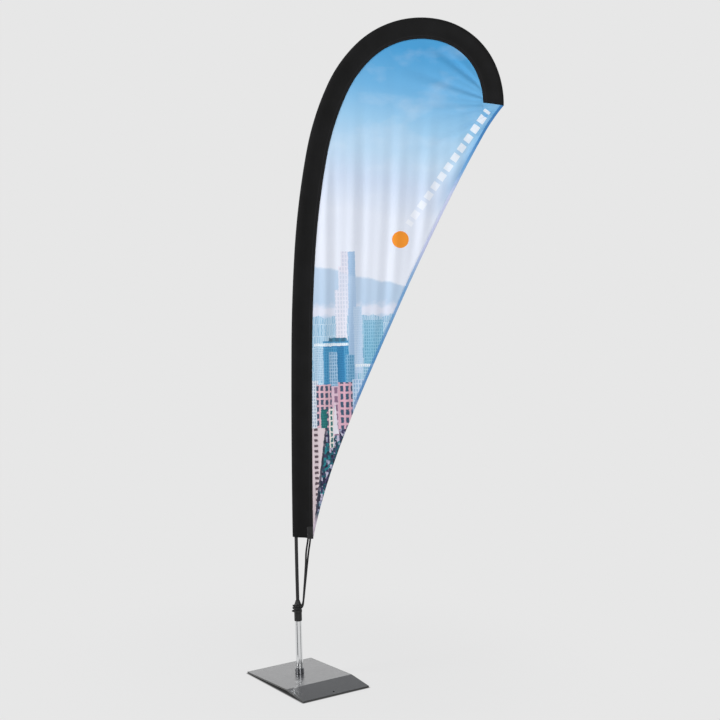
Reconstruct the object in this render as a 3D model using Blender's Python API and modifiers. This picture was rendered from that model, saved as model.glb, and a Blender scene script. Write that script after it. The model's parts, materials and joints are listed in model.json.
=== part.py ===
"""A small teardrop flag on a folded steel base plate, with a ball-bearing rotator.

The base plate is one steel sheet folded once, and the rotator stands square on its
large face, so the whole mast leans with that face. The mast tube slips over the
rotator's barrel. A black ferrule joins it to a fibreglass mast in three sections, which
the flag's pocket bends into a teardrop and an elastic cord holds in tension.

Metres, +Z up. X runs along the fold and Y across it. The origin is on the floor,
under the middle of the whole object.
"""
import math

import bmesh
import bpy
from mathutils import Matrix, Vector

# ---------------------------------------------------------------- driving dimensions
GAP = 0.0003  # between pieces that touch
RUN = 0.00025  # radial clearance of a sliding or rolling fit

# base plate: a sheet with one fold
PLATE_WIDTH = 0.250  # along the fold
REAR_LENGTH = 0.242  # large facet, level length
FRONT_LENGTH = 0.098  # small facet, level length
PLATE_THICKNESS = 0.005
EDGE_CLEARANCE = 0.0008  # from the floor to the plate's long edges
FOLD_RISE = 0.0104  # from the plate's edges up to the fold
FOOT_TO_REAR_EDGE = 0.1244  # level distance from the spindle to the rear edge
PEG_HOLE_DIAMETER = 0.007
PEG_HOLE_INSET = 0.017
PAD_DIAMETER = 0.020
PAD_INSET = 0.018  # from the plate's edges to the middle of a pad

# rotator, heights measured up the spindle from the plate's top
COLLAR_HEIGHT = 0.018
COLLAR_FLOOR = 0.004
COLLAR_WALL = 0.0025
COLLAR_ROOM = 0.001  # round the mast tube, inside the collar
PIN_DIAMETER = 0.008
SHOULDER_STEP = 0.0012  # of the pin, under the lower bearing
SHOULDER_HEIGHT = 0.020
PIN_FLANGE_REACH = 0.0018  # out from the shoulder
PIN_FLANGE = 0.0015
SCREW_DIAMETER = 0.006
SCREW_HEAD_DIAMETER = 0.012
SCREW_REACH = 0.011  # above the plate's top
SCREW_SOCKET = 0.004  # across flats
BEARING_OUTER = 0.016
BEARING_WIDTH = 0.005
BALL_SHARE = 0.6  # of the space between the pin and the bearing's outside
LAND_SHARE = 0.2  # from the balls' circle to the shoulders of each race
CAGE_SHARE = 0.1  # half of the cage's wall
BALLS = 7
SPACER_LENGTH = 0.0744
WASHER_THICKNESS = 0.001
NUT_ACROSS_FLATS = 0.013
NUT_HEIGHT = 0.0065
NUT_ROOM = 0.0004  # from the nut's corners to the barrel
BARREL_LEDGE = 0.0012  # how far the barrel's bearing ledges stand in
BARREL_FLANGE = 0.0025
CAP_THICKNESS = 0.0027

# mast tube, ferrule and hook ring
TUBE_DIAMETER = 0.022
TUBE_WALL = 0.0015
FERRULE_BOTTOM = 0.1754  # up the spindle from the plate's top
SKIRT_LENGTH = 0.028
SKIRT_WALL = 0.0012  # round the tube
SEAT_ROOF = 0.002  # from the tube's end up to the neck's foot
WEB = 0.0076  # from the tube's end up to the rod's
NECK_LENGTH = 0.0285
NECK_DIAMETER = 0.0226
CONE_LENGTH = 0.0116
MOUTH_WALL = 0.00095  # round the rod
PEG_DIAMETER = 0.006
PEG_REACH = 0.017  # from the axis
PEG_HEIGHT = 0.0230  # above the neck's foot
HOOK_RING_HEIGHT = 0.0095
HOOK_RING_DIAMETER = 0.027
HOOK_REACH = 0.0196  # from the axis

# mast: three rods on one curve, given as tangent arcs from the ferrule's mouth
MAST_ARCS = (  # (length, turn in degrees), away from the axis and then over the top
    (0.260, 0.7), (0.560, 1.1), (0.310, 3.1), (0.320, 7.0), (0.220, 14.5),
    (0.150, 20.6), (0.290, 56.6), (0.220, 52.9), (0.130, 25.3),
)
ROD_DIAMETERS = (0.011, 0.009, 0.0065)  # lower, middle, tip
ROD_JOINTS = (0.660, 1.360)  # where the sections meet, along the mast
ROD_JOINT_LENGTH = 0.080
ROD_JOINT_WALL = 0.0006  # round the lower rod
TIP_CAP_LENGTH = 0.016
TIP_MARGIN = 0.030  # from the pocket's end back to the end of the tip cap

# flag
FLAG_HEADING = -30.0  # degrees about the spindle, from X
POCKET_WIDTH = 0.067
POCKET_WALL = 0.0008
POCKET_ROOM = 0.0008  # inside the pocket, round the rods' joints
POCKET_SLACK = (0.0035, 0.0005)  # more room at its outer edge, at hem and tip
POCKET_EDGE = 0.0014  # half thickness at the seam
FLAT_END = 0.020  # of the pocket, pressed flat beyond the tip cap
HEM_HEIGHT = 0.2108  # along the mast, at the outer edge
HEM_SLANT = -0.0083  # the inner corner hangs lower
END_SLANT = 0.0100  # the pocket's end is cut back at its inner corner
PANEL_THICKNESS = 0.001
TRAILING_HOLLOW = 0.049  # how far the trailing edge curves in from a straight line
HEM_STRIP_WIDTH = 0.009
HEM_STRIP_THICKNESS = 0.0016
TAB_WIDTH = 0.020
TAB_HEIGHT = 0.040
TAB_THICKNESS = 0.0012
EYELET_BORE = 0.004
EYELET_BARREL = 0.0065
EYELET_FLANGE = 0.0105
EYELET_INSET = 0.0135  # from the pocket's inner edge
EYELET_RISE = 0.0125  # from the tab's lower end
CORD_DIAMETER = 0.006
KNOT_SIZE = (0.0135, 0.0090, 0.0090)

# ---------------------------------------------------------------- worked out from them
TILT = math.atan2(FOLD_RISE, REAR_LENGTH)
REAR_EDGE = FOOT_TO_REAR_EDGE
FRONT_EDGE = FOOT_TO_REAR_EDGE - REAR_LENGTH - FRONT_LENGTH
FOLD = FOOT_TO_REAR_EDGE - REAR_LENGTH
EDGE_TOP = EDGE_CLEARANCE + PLATE_THICKNESS
FOOT_HEIGHT = EDGE_TOP + FOOT_TO_REAR_EDGE * math.tan(TILT)

PIN_RADIUS = PIN_DIAMETER / 2
SHOULDER_RADIUS = PIN_RADIUS + SHOULDER_STEP
RACE_BORE = PIN_RADIUS + RUN
BEARING_SPACE = BEARING_OUTER / 2 - PIN_RADIUS
BALL_DIAMETER = BALL_SHARE * BEARING_SPACE
NUT_CORNER = NUT_ACROSS_FLATS / math.sqrt(3)
BARREL_BORE = BEARING_OUTER / 2 + RUN
BARREL_MOUTH = max(BARREL_BORE, NUT_CORNER + NUT_ROOM)  # above the upper bearing
BARREL_RADIUS = TUBE_DIAMETER / 2 - TUBE_WALL - RUN
COLLAR_INSIDE = TUBE_DIAMETER / 2 + COLLAR_ROOM
COLLAR_OUTSIDE = COLLAR_INSIDE + COLLAR_WALL
LOWER_BEARING = SHOULDER_HEIGHT + GAP
SPACER_FOOT = LOWER_BEARING + BEARING_WIDTH + GAP
UPPER_BEARING = SPACER_FOOT + SPACER_LENGTH + GAP
WASHER_FOOT = UPPER_BEARING + BEARING_WIDTH + GAP
NUT_FOOT = WASHER_FOOT + WASHER_THICKNESS + GAP
PIN_TOP = NUT_FOOT + NUT_HEIGHT + 0.0025
BARREL_TOP = PIN_TOP + 0.004
BARREL_FOOT = COLLAR_FLOOR + PIN_FLANGE + 2 * GAP + 0.0006
TUBE_FOOT = BARREL_FOOT + BARREL_FLANGE + GAP

NECK_FOOT = FERRULE_BOTTOM + SKIRT_LENGTH
CONE_FOOT = NECK_FOOT + NECK_LENGTH
MOUTH = CONE_FOOT + CONE_LENGTH
TUBE_TOP = NECK_FOOT - SEAT_ROOF
ROD_SEAT = TUBE_TOP + GAP + WEB
PEG_AXIS = NECK_FOOT + PEG_HEIGHT
CORD_WRAP_HEIGHT = PEG_AXIS - PEG_DIAMETER / 2 - CORD_DIAMETER / 2 - 0.002
CORD_WRAP_RADIUS = NECK_DIAMETER / 2 + CORD_DIAMETER / 2 + 2 * GAP

MAST_LENGTH = sum(length for length, _ in MAST_ARCS)
ROD_JOINT_RADIUS = ROD_DIAMETERS[0] / 2 + GAP + ROD_JOINT_WALL
POCKET_BULGE = ROD_JOINT_RADIUS + POCKET_ROOM + POCKET_WALL  # half thickness over the rod
POCKET_OUTSIDE = tuple(POCKET_BULGE + slack for slack in POCKET_SLACK)  # from the rod's axis
POCKET_INSIDE = tuple(POCKET_WIDTH - outside for outside in POCKET_OUTSIDE)
ROD_TIP = MAST_LENGTH - TIP_MARGIN - 0.003

BLACK = ("21201f", 0.55, 0.0)


# ---------------------------------------------------------------- scene and materials
def clear_scene():
    for thing in list(bpy.data.objects):
        bpy.data.objects.remove(thing, do_unlink=True)
    for block in (bpy.data.meshes, bpy.data.curves, bpy.data.materials):
        for item in list(block):
            block.remove(item)


def new_collection(name, helper=False):
    collection = bpy.data.collections.new(name)
    bpy.context.scene.collection.children.link(collection)
    collection.hide_render = helper
    return collection


def linear(hex_colour):
    """Linear RGBA of an sRGB hex colour."""
    values = [int(hex_colour[i:i + 2], 16) / 255 for i in (0, 2, 4)]
    return [v / 12.92 if v <= 0.04045 else ((v + 0.055) / 1.055) ** 2.4 for v in values] + [1.0]


def new_material(name, hex_colour, roughness, metallic):
    material = bpy.data.materials.new(name)
    material.use_nodes = True
    shader = material.node_tree.nodes["Principled BSDF"]
    shader.inputs["Base Color"].default_value = linear(hex_colour)
    shader.inputs["Roughness"].default_value = roughness
    shader.inputs["Metallic"].default_value = metallic
    material.diffuse_color = linear(hex_colour)
    return material


def place(name, data, frame, look, location=(0, 0, 0), rotation=(0, 0, 0)):
    """Adds one finished sub-part, in the coordinates of the empty it belongs to."""
    thing = bpy.data.objects.new(name, data)
    PARTS.objects.link(thing)
    thing.parent = frame
    thing.location = location
    thing.rotation_euler = rotation
    data.materials.append(new_material(name, *look))
    return thing


def helper(name, data, frame, location=(0, 0, 0), rotation=(0, 0, 0)):
    """Adds a cutter or another shape that a Boolean uses."""
    thing = bpy.data.objects.new(name, data)
    HELPERS.objects.link(thing)
    thing.parent = frame
    thing.location = location
    thing.rotation_euler = rotation
    thing.hide_render = True
    thing.display_type = "WIRE"
    return thing


def empty(name, parent=None, location=(0, 0, 0), rotation=(0, 0, 0)):
    thing = bpy.data.objects.new(name, None)
    thing.empty_display_size = 0.05
    PARTS.objects.link(thing)
    thing.parent = parent
    thing.location = location
    thing.rotation_euler = rotation
    return thing


# ---------------------------------------------------------------- shapes
def smooth(mesh, angle=35):
    mesh.shade_smooth()
    mesh.set_sharp_from_angle(angle=math.radians(angle))
    return mesh


def mesh_from(name, build, *details):
    """A mesh that one bmesh function fills."""
    mesh = bpy.data.meshes.new(name)
    shape = bmesh.new()
    build(shape, *details)
    bmesh.ops.recalc_face_normals(shape, faces=shape.faces)
    shape.to_mesh(mesh)
    shape.free()
    return mesh


def boolean(thing, other, operation):
    modifier = thing.modifiers.new(operation.lower(), "BOOLEAN")
    modifier.operation = operation
    modifier.object = other
    modifier.solver = "EXACT"


def bevel(thing, width, segments, angle=30):
    modifier = thing.modifiers.new("edges", "BEVEL")
    modifier.width = width
    modifier.segments = segments
    modifier.limit_method = "ANGLE"
    modifier.angle_limit = math.radians(angle)


def turned_mesh(name, profile, ring):
    """A profile of (radius, height) points, down its outer side. A ring's profile is closed."""
    mesh = bpy.data.meshes.new(name)
    count = len(profile)
    edges = [(i, i + 1) for i in range(count - 1)]
    if ring:
        edges.append((count - 1, 0))
    mesh.from_pydata([(radius, 0, height) for radius, height in profile], edges, [])
    return mesh


def turn(thing, steps):
    modifier = thing.modifiers.new("turn", "SCREW")
    modifier.steps = steps
    modifier.render_steps = steps
    modifier.use_merge_vertices = True
    modifier.merge_threshold = 0.00001
    modifier.use_smooth_shade = True


def turned(name, profile, frame, look, ring=False, steps=32, **where):
    thing = place(name, turned_mesh(name, profile, ring), frame, look, **where)
    turn(thing, steps)
    return thing


def tube_profile(outer, inner, foot, top):
    return [(outer, top), (outer, foot), (inner, foot), (inner, top)]


def cylinder(name, radius, depth, segments=32, top_radius=None):
    end = radius if top_radius is None else top_radius
    return smooth(mesh_from(name, lambda shape: bmesh.ops.create_cone(
        shape, cap_ends=True, segments=segments, radius1=radius, radius2=end, depth=depth)))


def flat_outline(name, points, thickness):
    """A flat piece cut to an outline in the curve's own XY plane."""
    curve = bpy.data.curves.new(name, "CURVE")
    curve.dimensions = "2D"
    curve.fill_mode = "BOTH"
    curve.extrude = thickness / 2
    spline = curve.splines.new("POLY")
    spline.points.add(len(points) - 1)
    for point, (x, y) in zip(spline.points, points):
        point.co = (x, y, 0, 1)
    spline.use_cyclic_u = True
    return curve


def round_bar(name, points, radius, resolution=2):
    """A rod or cord of one diameter through a list of points."""
    curve = bpy.data.curves.new(name, "CURVE")
    curve.dimensions = "3D"
    curve.bevel_depth = radius
    curve.bevel_resolution = resolution
    curve.use_fill_caps = True
    spline = curve.splines.new("POLY")
    spline.points.add(len(points) - 1)
    for point, place_at in zip(spline.points, points):
        point.co = (*place_at, 1)
    spline.use_smooth = True
    return curve


def as_mesh(name, curve):
    """The welded mesh of a curve, for a piece that is cut or that cuts."""
    maker = bpy.data.objects.new("maker", curve)
    PARTS.objects.link(maker)
    graph = bpy.context.evaluated_depsgraph_get()
    mesh = bpy.data.meshes.new_from_object(maker.evaluated_get(graph))
    bpy.data.objects.remove(maker)
    bpy.data.curves.remove(curve)
    mesh.name = name
    shape = bmesh.new()
    shape.from_mesh(mesh)
    bmesh.ops.remove_doubles(shape, verts=shape.verts, dist=0.000001)
    bmesh.ops.recalc_face_normals(shape, faces=shape.faces)
    shape.to_mesh(mesh)
    shape.free()
    return mesh


# ---------------------------------------------------------------- base plate
def plate_underside(y):
    """Height of the plate's lower face above the floor, under a point of its width."""
    if y > FOLD:
        return EDGE_CLEARANCE + (REAR_EDGE - y) * FOLD_RISE / REAR_LENGTH
    return EDGE_CLEARANCE + (y - FRONT_EDGE) * FOLD_RISE / FRONT_LENGTH


def build_base():
    section = [
        (REAR_EDGE, EDGE_CLEARANCE), (REAR_EDGE, EDGE_TOP),
        (FOLD, EDGE_TOP + FOLD_RISE),
        (FRONT_EDGE, EDGE_TOP), (FRONT_EDGE, EDGE_CLEARANCE),
        (FOLD, EDGE_CLEARANCE + FOLD_RISE),
    ]
    # the outline is drawn in XY, so it is stood up and turned to face along X
    mesh = as_mesh("base_plate", flat_outline("base_plate", section, PLATE_WIDTH))
    mesh.transform(Matrix.Rotation(math.pi / 2, 4, "Z") @ Matrix.Rotation(math.pi / 2, 4, "X"))
    plate = place("base_plate", smooth(mesh, 20), FLOOR, ("6f7174", 0.38, 0.4))
    bevel(plate, 0.0006, 2)

    hole = helper("peg_hole", cylinder("peg_hole", PEG_HOLE_DIAMETER / 2, 0.04, 24), FLOOR,
                  location=(0, FRONT_EDGE + PEG_HOLE_INSET, EDGE_TOP))
    boolean(plate, hole, "DIFFERENCE")
    drill = screw_shape(GAP)
    cutter = helper("screw_hole", turned_mesh("screw_hole", drill, False), SPINDLE)
    turn(cutter, 32)
    boolean(plate, cutter, "DIFFERENCE")

    pad_x = PLATE_WIDTH / 2 - PAD_INSET
    corners = [(x, y) for y in (REAR_EDGE - PAD_INSET, FRONT_EDGE + PAD_INSET)
               for x in (-pad_x, pad_x)]
    for number, (x, y) in enumerate(corners, 1):
        build_pad(f"foot_pad_{number}", x, y)


def build_pad(name, x, y):
    """A round rubber pad, flat on the floor and sloped on top to lie along the plate."""
    mesh = cylinder(name, PAD_DIAMETER / 2, 0.001)
    for vertex in mesh.vertices:
        if vertex.co.z > 0:
            vertex.co.z = plate_underside(y + vertex.co.y) - GAP
        else:
            vertex.co.z = 0
    place(name, mesh, FLOOR, ("1c1c1c", 0.85, 0.0), location=(x, y, 0))


def screw_shape(extra):
    """Countersunk screw from under the plate: the solid, or its hole if extra is a clearance."""
    shank, head = SCREW_DIAMETER / 2 + extra, SCREW_HEAD_DIAMETER / 2 + extra
    under = -PLATE_THICKNESS + (0.0002 if extra == 0 else -0.004)
    cone_top = -PLATE_THICKNESS + 0.0003 + (head - shank)
    return [
        (0, SCREW_REACH + extra), (shank, SCREW_REACH + extra), (shank, cone_top),
        (head, -PLATE_THICKNESS + 0.0003), (head, under), (0, under),
    ]


# ---------------------------------------------------------------- rotator
def build_rotator_base():
    """The pieces that stand still: collar, pin, screw, inner races, spacer and nut."""
    steel = ("b9babb", 0.3, 1.0)
    outer, inner = COLLAR_OUTSIDE, COLLAR_INSIDE
    bore = SHOULDER_RADIUS + GAP
    chamfer = 0.0008
    turned("rotator_collar", [
        (outer - chamfer, COLLAR_HEIGHT), (outer, COLLAR_HEIGHT - chamfer),
        (outer, GAP + chamfer / 2), (outer - chamfer / 2, GAP), (bore, GAP),
        (bore, COLLAR_FLOOR), (inner, COLLAR_FLOOR), (inner, COLLAR_HEIGHT - chamfer / 2),
        (inner + chamfer / 2, COLLAR_HEIGHT),
    ], SPINDLE, ("d8dadb", 0.12, 1.0), ring=True, steps=40)

    shoulder, flange = SHOULDER_RADIUS, SHOULDER_RADIUS + PIN_FLANGE_REACH
    flange_foot = COLLAR_FLOOR + GAP
    pin = turned("core_pin", [
        (0, PIN_TOP), (PIN_RADIUS - 0.0005, PIN_TOP), (PIN_RADIUS, PIN_TOP - 0.0005),
        (PIN_RADIUS, SHOULDER_HEIGHT), (shoulder, SHOULDER_HEIGHT),
        (shoulder, flange_foot + PIN_FLANGE), (flange, flange_foot + PIN_FLANGE),
        (flange, flange_foot), (shoulder, flange_foot), (shoulder, GAP), (0, GAP),
    ], SPINDLE, steel, steps=32)
    tapping = helper("screw_tapping", turned_mesh("screw_tapping", screw_shape(GAP), False),
                     SPINDLE)
    turn(tapping, 32)
    boolean(pin, tapping, "DIFFERENCE")

    screw = turned("base_screw", screw_shape(0), SPINDLE, ("9a9b9c", 0.35, 1.0), steps=32)
    socket = helper("screw_socket",
                    cylinder("screw_socket", SCREW_SOCKET / math.sqrt(3), 0.005, 6),
                    SPINDLE, location=(0, 0, -PLATE_THICKNESS))
    boolean(screw, socket, "DIFFERENCE")

    race = PIN_RADIUS + 0.0012
    turned("spacer_tube", tube_profile(race, RACE_BORE, SPACER_FOOT, SPACER_FOOT + SPACER_LENGTH),
           SPINDLE, ("a8a9aa", 0.4, 1.0), ring=True, steps=24)
    turned("nut_washer", tube_profile(race, RACE_BORE, WASHER_FOOT, WASHER_FOOT + WASHER_THICKNESS),
           SPINDLE, steel, ring=True, steps=24)
    nut = place("lock_nut", cylinder("lock_nut", NUT_CORNER, NUT_HEIGHT, 6),
                SPINDLE, steel, location=(0, 0, NUT_FOOT + NUT_HEIGHT / 2))
    thread = helper("nut_thread", cylinder("nut_thread", RACE_BORE, 2 * NUT_HEIGHT, 24), SPINDLE,
                    location=(0, 0, NUT_FOOT + NUT_HEIGHT / 2))
    boolean(nut, thread, "DIFFERENCE")


def groove(middle, pitch, side, steps=3):
    """Points of a ball groove, down the side of a race: side is -1 on an inner race."""
    radius = BALL_DIAMETER / 2 + 0.00018
    depth = math.radians(50)
    angles = [depth - 2 * depth * i / steps for i in range(steps + 1)]
    return [(pitch + side * radius * math.cos(a), middle + radius * math.sin(a)) for a in angles]


def build_bearing(name, foot):
    """A deep-groove ball bearing: inner race, outer race, and its balls in their cage."""
    look = ("c4c6c8", 0.2, 1.0)
    pitch = (PIN_RADIUS + BEARING_OUTER / 2) / 2
    top, middle = foot + BEARING_WIDTH, foot + BEARING_WIDTH / 2
    land, cage_half = LAND_SHARE * BEARING_SPACE, CAGE_SHARE * BEARING_SPACE
    inner_side, outer_side = pitch - land, pitch + land
    turned(f"{name}_bearing_inner", [
        (inner_side, top), *groove(middle, pitch, -1), (inner_side, foot),
        (RACE_BORE, foot), (RACE_BORE, top),
    ], SPINDLE, look, ring=True, steps=24)
    turned(f"{name}_bearing_outer", [
        (BEARING_OUTER / 2, top), (BEARING_OUTER / 2, foot), (outer_side, foot),
        *reversed(groove(middle, pitch, 1)), (outer_side, top),
    ], SPINDLE, look, ring=True, steps=24)

    cage = turned(f"{name}_bearing_cage",
                  tube_profile(pitch + cage_half, pitch - cage_half, middle - 0.0014,
                               middle + 0.0014),
                  SPINDLE, ("b08a4a", 0.35, 1.0), ring=True, steps=21)

    def all_balls(shape):
        for i in range(BALLS):
            angle = 2 * math.pi * i / BALLS
            spot = Vector((pitch * math.cos(angle), pitch * math.sin(angle), middle))
            bmesh.ops.create_icosphere(shape, subdivisions=1, radius=BALL_DIAMETER / 2,
                                       matrix=Matrix.Translation(spot))

    balls = helper(f"{name}_balls", mesh_from(f"{name}_balls", all_balls), SPINDLE)
    boolean(cage, balls, "UNION")


def build_barrel():
    """The turning barrel that the mast tube slips over, with its cap."""
    ledge = BARREL_BORE - BARREL_LEDGE
    flange = COLLAR_INSIDE - 0.0007
    lower_ledge = LOWER_BEARING + BEARING_WIDTH + GAP
    upper_ledge = UPPER_BEARING - GAP
    mouth = [(BARREL_MOUTH, BARREL_TOP)]
    if BARREL_MOUTH > BARREL_BORE:
        mouth = [(BARREL_BORE, WASHER_FOOT), (BARREL_MOUTH, WASHER_FOOT), *mouth]
    turned("spindle_barrel", [
        (BARREL_RADIUS, BARREL_TOP), (BARREL_RADIUS, BARREL_FOOT + BARREL_FLANGE),
        (flange, BARREL_FOOT + BARREL_FLANGE), (flange, BARREL_FOOT), (BARREL_BORE, BARREL_FOOT),
        (BARREL_BORE, lower_ledge), (ledge, lower_ledge), (ledge, upper_ledge),
        (BARREL_BORE, upper_ledge), *mouth,
    ], SPINDLE, ("b4b6b8", 0.3, 1.0), ring=True)
    plug = BARREL_MOUTH - RUN
    cap_top = BARREL_TOP + GAP + CAP_THICKNESS
    turned("spindle_cap", [
        (0, cap_top), (BARREL_RADIUS - 0.001, cap_top), (BARREL_RADIUS, cap_top - 0.001),
        (BARREL_RADIUS, BARREL_TOP + GAP), (plug, BARREL_TOP + GAP), (plug, BARREL_TOP - 0.0025),
        (plug - 0.0015, BARREL_TOP - 0.0025), (plug - 0.0015, BARREL_TOP + GAP),
        (0, BARREL_TOP + GAP),
    ], SPINDLE, ("242424", 0.6, 0.0))


# ---------------------------------------------------------------- mast tube and ferrule
def build_mast_foot():
    radius, inner = TUBE_DIAMETER / 2, TUBE_DIAMETER / 2 - TUBE_WALL
    turned("mast_tube", tube_profile(radius, inner, TUBE_FOOT, TUBE_TOP), FLAG,
           ("d8dadb", 0.1, 1.0), ring=True, steps=40)

    tube_bore, rod_bore = radius + GAP, ROD_DIAMETERS[0] / 2 + GAP
    skirt, neck, mouth = tube_bore + SKIRT_WALL, NECK_DIAMETER / 2, rod_bore + MOUTH_WALL
    edge = 0.0015
    ferrule = turned("mast_ferrule", [
        (mouth, MOUTH), (neck - 0.001, CONE_FOOT + 0.0008), (neck, CONE_FOOT - 0.001),
        (neck, NECK_FOOT), (skirt - 0.0005, NECK_FOOT), (skirt, NECK_FOOT - 0.0005),
        (skirt, FERRULE_BOTTOM + edge), (skirt - 0.3 * edge, FERRULE_BOTTOM + 0.3 * edge),
        (skirt - edge * 0.8, FERRULE_BOTTOM), (tube_bore, FERRULE_BOTTOM),
        (tube_bore, TUBE_TOP + GAP), (0.002, TUBE_TOP + GAP), (0.002, ROD_SEAT),
        (rod_bore, ROD_SEAT), (rod_bore, MOUTH),
    ], FLAG, BLACK, ring=True)
    length = PEG_REACH - neck + 0.0015

    def all_pegs(shape):
        for quarter in range(4):
            around = Matrix.Rotation(quarter * math.pi / 2, 4, "Z")
            out = Matrix.Translation((PEG_REACH - length / 2, 0, PEG_AXIS))
            lay = Matrix.Rotation(math.pi / 2, 4, "Y")
            bmesh.ops.create_cone(shape, cap_ends=True, segments=20, radius1=PEG_DIAMETER / 2,
                                  radius2=PEG_DIAMETER / 2 - 0.0004, depth=length,
                                  matrix=around @ out @ lay)

    pegs = helper("ferrule_pegs", mesh_from("ferrule_pegs", all_pegs), FLAG)
    boolean(ferrule, pegs, "UNION")

    outer, bore = HOOK_RING_DIAMETER / 2, neck + GAP
    foot, top = NECK_FOOT + GAP, NECK_FOOT + GAP + HOOK_RING_HEIGHT
    ring = turned("hook_ring", [
        (outer - 0.001, top), (outer, top - 0.001), (outer, foot + 0.001), (outer - 0.001, foot),
        (bore, foot), (bore, top),
    ], FLAG, BLACK, ring=True)
    reach = HOOK_REACH - outer + 0.0008
    beak = helper("hook_beak",
                  cylinder("hook_beak", HOOK_RING_HEIGHT / 2 - 0.0004, reach, 20, top_radius=0.0022),
                  FLAG, location=(-HOOK_REACH + reach / 2, 0, (foot + top) / 2),
                  rotation=(0, -math.pi / 2, 0))
    boolean(ring, beak, "UNION")


# ---------------------------------------------------------------- mast
def mast_at(distance):
    """(along the flag, up the spindle, lean) of the mast's axis, this far from the mouth."""
    across, up, lean, left = 0.0, MOUTH, 0.0, distance
    if distance <= 0:
        return across, up + distance, lean
    for length, turn_degrees in MAST_ARCS:
        part = min(length, left)
        bend = math.radians(turn_degrees) / length
        across += (math.cos(lean) - math.cos(lean + bend * part)) / bend
        up += (math.sin(lean + bend * part) - math.sin(lean)) / bend
        lean += bend * part
        left -= part
        if left <= 0:
            break
    return across, up, lean


def flag_point(distance, inward, side=0.0):
    """A point of the flag: along the mast, inward from its axis, and out of the flag's plane."""
    across, up, lean = mast_at(distance)
    return Vector((across + inward * math.cos(lean), side, up - inward * math.sin(lean)))


def mast_stations(start, end, longest=0.12, most_turn=8.0):
    """Distances along the mast, closer together where it bends more."""
    stops, travelled = [start], 0.0
    for length, turn_degrees in MAST_ARCS:
        pieces = max(math.ceil(length / longest), math.ceil(turn_degrees / most_turn))
        stops += [travelled + length * (i + 1) / pieces for i in range(pieces)]
        travelled += length
    inside = [stop for stop in stops if start + 0.004 < stop < end - 0.004]
    return [start, *inside, end]


def build_mast():
    look = ("2b2b2c", 0.4, 0.0)
    names = ("mast_rod_lower", "mast_rod_middle", "mast_rod_tip")
    starts = (ROD_SEAT + GAP - MOUTH, ROD_JOINTS[0] + GAP, ROD_JOINTS[1] + GAP)
    ends = (ROD_JOINTS[0] - GAP, ROD_JOINTS[1] - GAP, ROD_TIP)
    for name, start, end, diameter in zip(names, starts, ends, ROD_DIAMETERS):
        stops = [*mast_stations(start, end - TIP_CAP_LENGTH), end]
        points = [flag_point(d, 0) for d in stops]
        resolution = 6 if name == "mast_rod_lower" else 2
        place(name, round_bar(name, points, diameter / 2, resolution), FLAG, look)

    # the rods bend a little inside their straight joints, so those bores have more room
    bend_room = GAP + 0.0004
    for name, middle, below, above in (
        ("rod_joint_lower", ROD_JOINTS[0], ROD_DIAMETERS[0], ROD_DIAMETERS[1]),
        ("rod_joint_upper", ROD_JOINTS[1], ROD_DIAMETERS[1], ROD_DIAMETERS[2]),
    ):
        across, up, lean = mast_at(middle)
        half, outer = ROD_JOINT_LENGTH / 2, ROD_JOINT_RADIUS
        low_bore, high_bore = below / 2 + bend_room, above / 2 + bend_room
        turned(name, [
            (outer, half), (outer, -half), (low_bore, -half), (low_bore, 0),
            (high_bore, 0), (high_bore, half),
        ], FLAG, ("8d8f91", 0.35, 1.0), ring=True, steps=24,
            location=(across, 0, up), rotation=(0, lean, 0))

    across, up, _ = mast_at(ROD_TIP)
    lean = mast_at(ROD_TIP - TIP_CAP_LENGTH / 2)[2]
    outer, bore = ROD_JOINT_RADIUS, ROD_DIAMETERS[2] / 2 + GAP
    turned("tip_cap", [
        (0, 0.003), (0.6 * outer, 0.003 - 0.0006), (outer, -0.001),
        (outer, 0.003 - TIP_CAP_LENGTH), (bore, 0.003 - TIP_CAP_LENGTH), (bore, GAP), (0, GAP),
    ], FLAG, ("1b1b1b", 0.8, 0.0), steps=24, location=(across, 0, up), rotation=(0, lean, 0))


# ---------------------------------------------------------------- flag
def along(values, share):
    """A size that changes evenly from the hem to the pocket's end."""
    return values[0] + (values[1] - values[0]) * share


def pocket_point(share, inward, side=0.0):
    """A point of the pocket, this share of the way from its slanted hem to its slanted end."""
    across_share = (inward + along(POCKET_OUTSIDE, share)) / POCKET_WIDTH
    start = HEM_HEIGHT + HEM_SLANT * across_share
    end = MAST_LENGTH - END_SLANT * across_share
    return flag_point(start + (end - start) * share, inward, side)


def pocket_shares():
    stops = [*mast_stations(HEM_HEIGHT, MAST_LENGTH - FLAT_END), MAST_LENGTH]
    return [(stop - HEM_HEIGHT) / (MAST_LENGTH - HEM_HEIGHT) for stop in stops]


def pocket_section(share):
    """(inward, half thickness) round the pocket: full over the rod, flat at the seam."""
    outside, inside = along(POCKET_OUTSIDE, share), along(POCKET_INSIDE, share)
    flat = max(0.0, 1 - (1 - share) * (MAST_LENGTH - HEM_HEIGHT) / FLAT_END)
    curve = [(-outside * math.cos(a), POCKET_BULGE * math.sin(a))
             for a in (math.radians(30 * i) for i in range(4))]
    curve += [(0.007, 0.0069), (0.015, 0.0040), (0.030, 0.0020),
              (inside - 0.001, POCKET_EDGE), (inside, POCKET_EDGE / 2)]
    return [(w, h + (min(h, POCKET_EDGE) - h) * flat) for w, h in curve]


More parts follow.
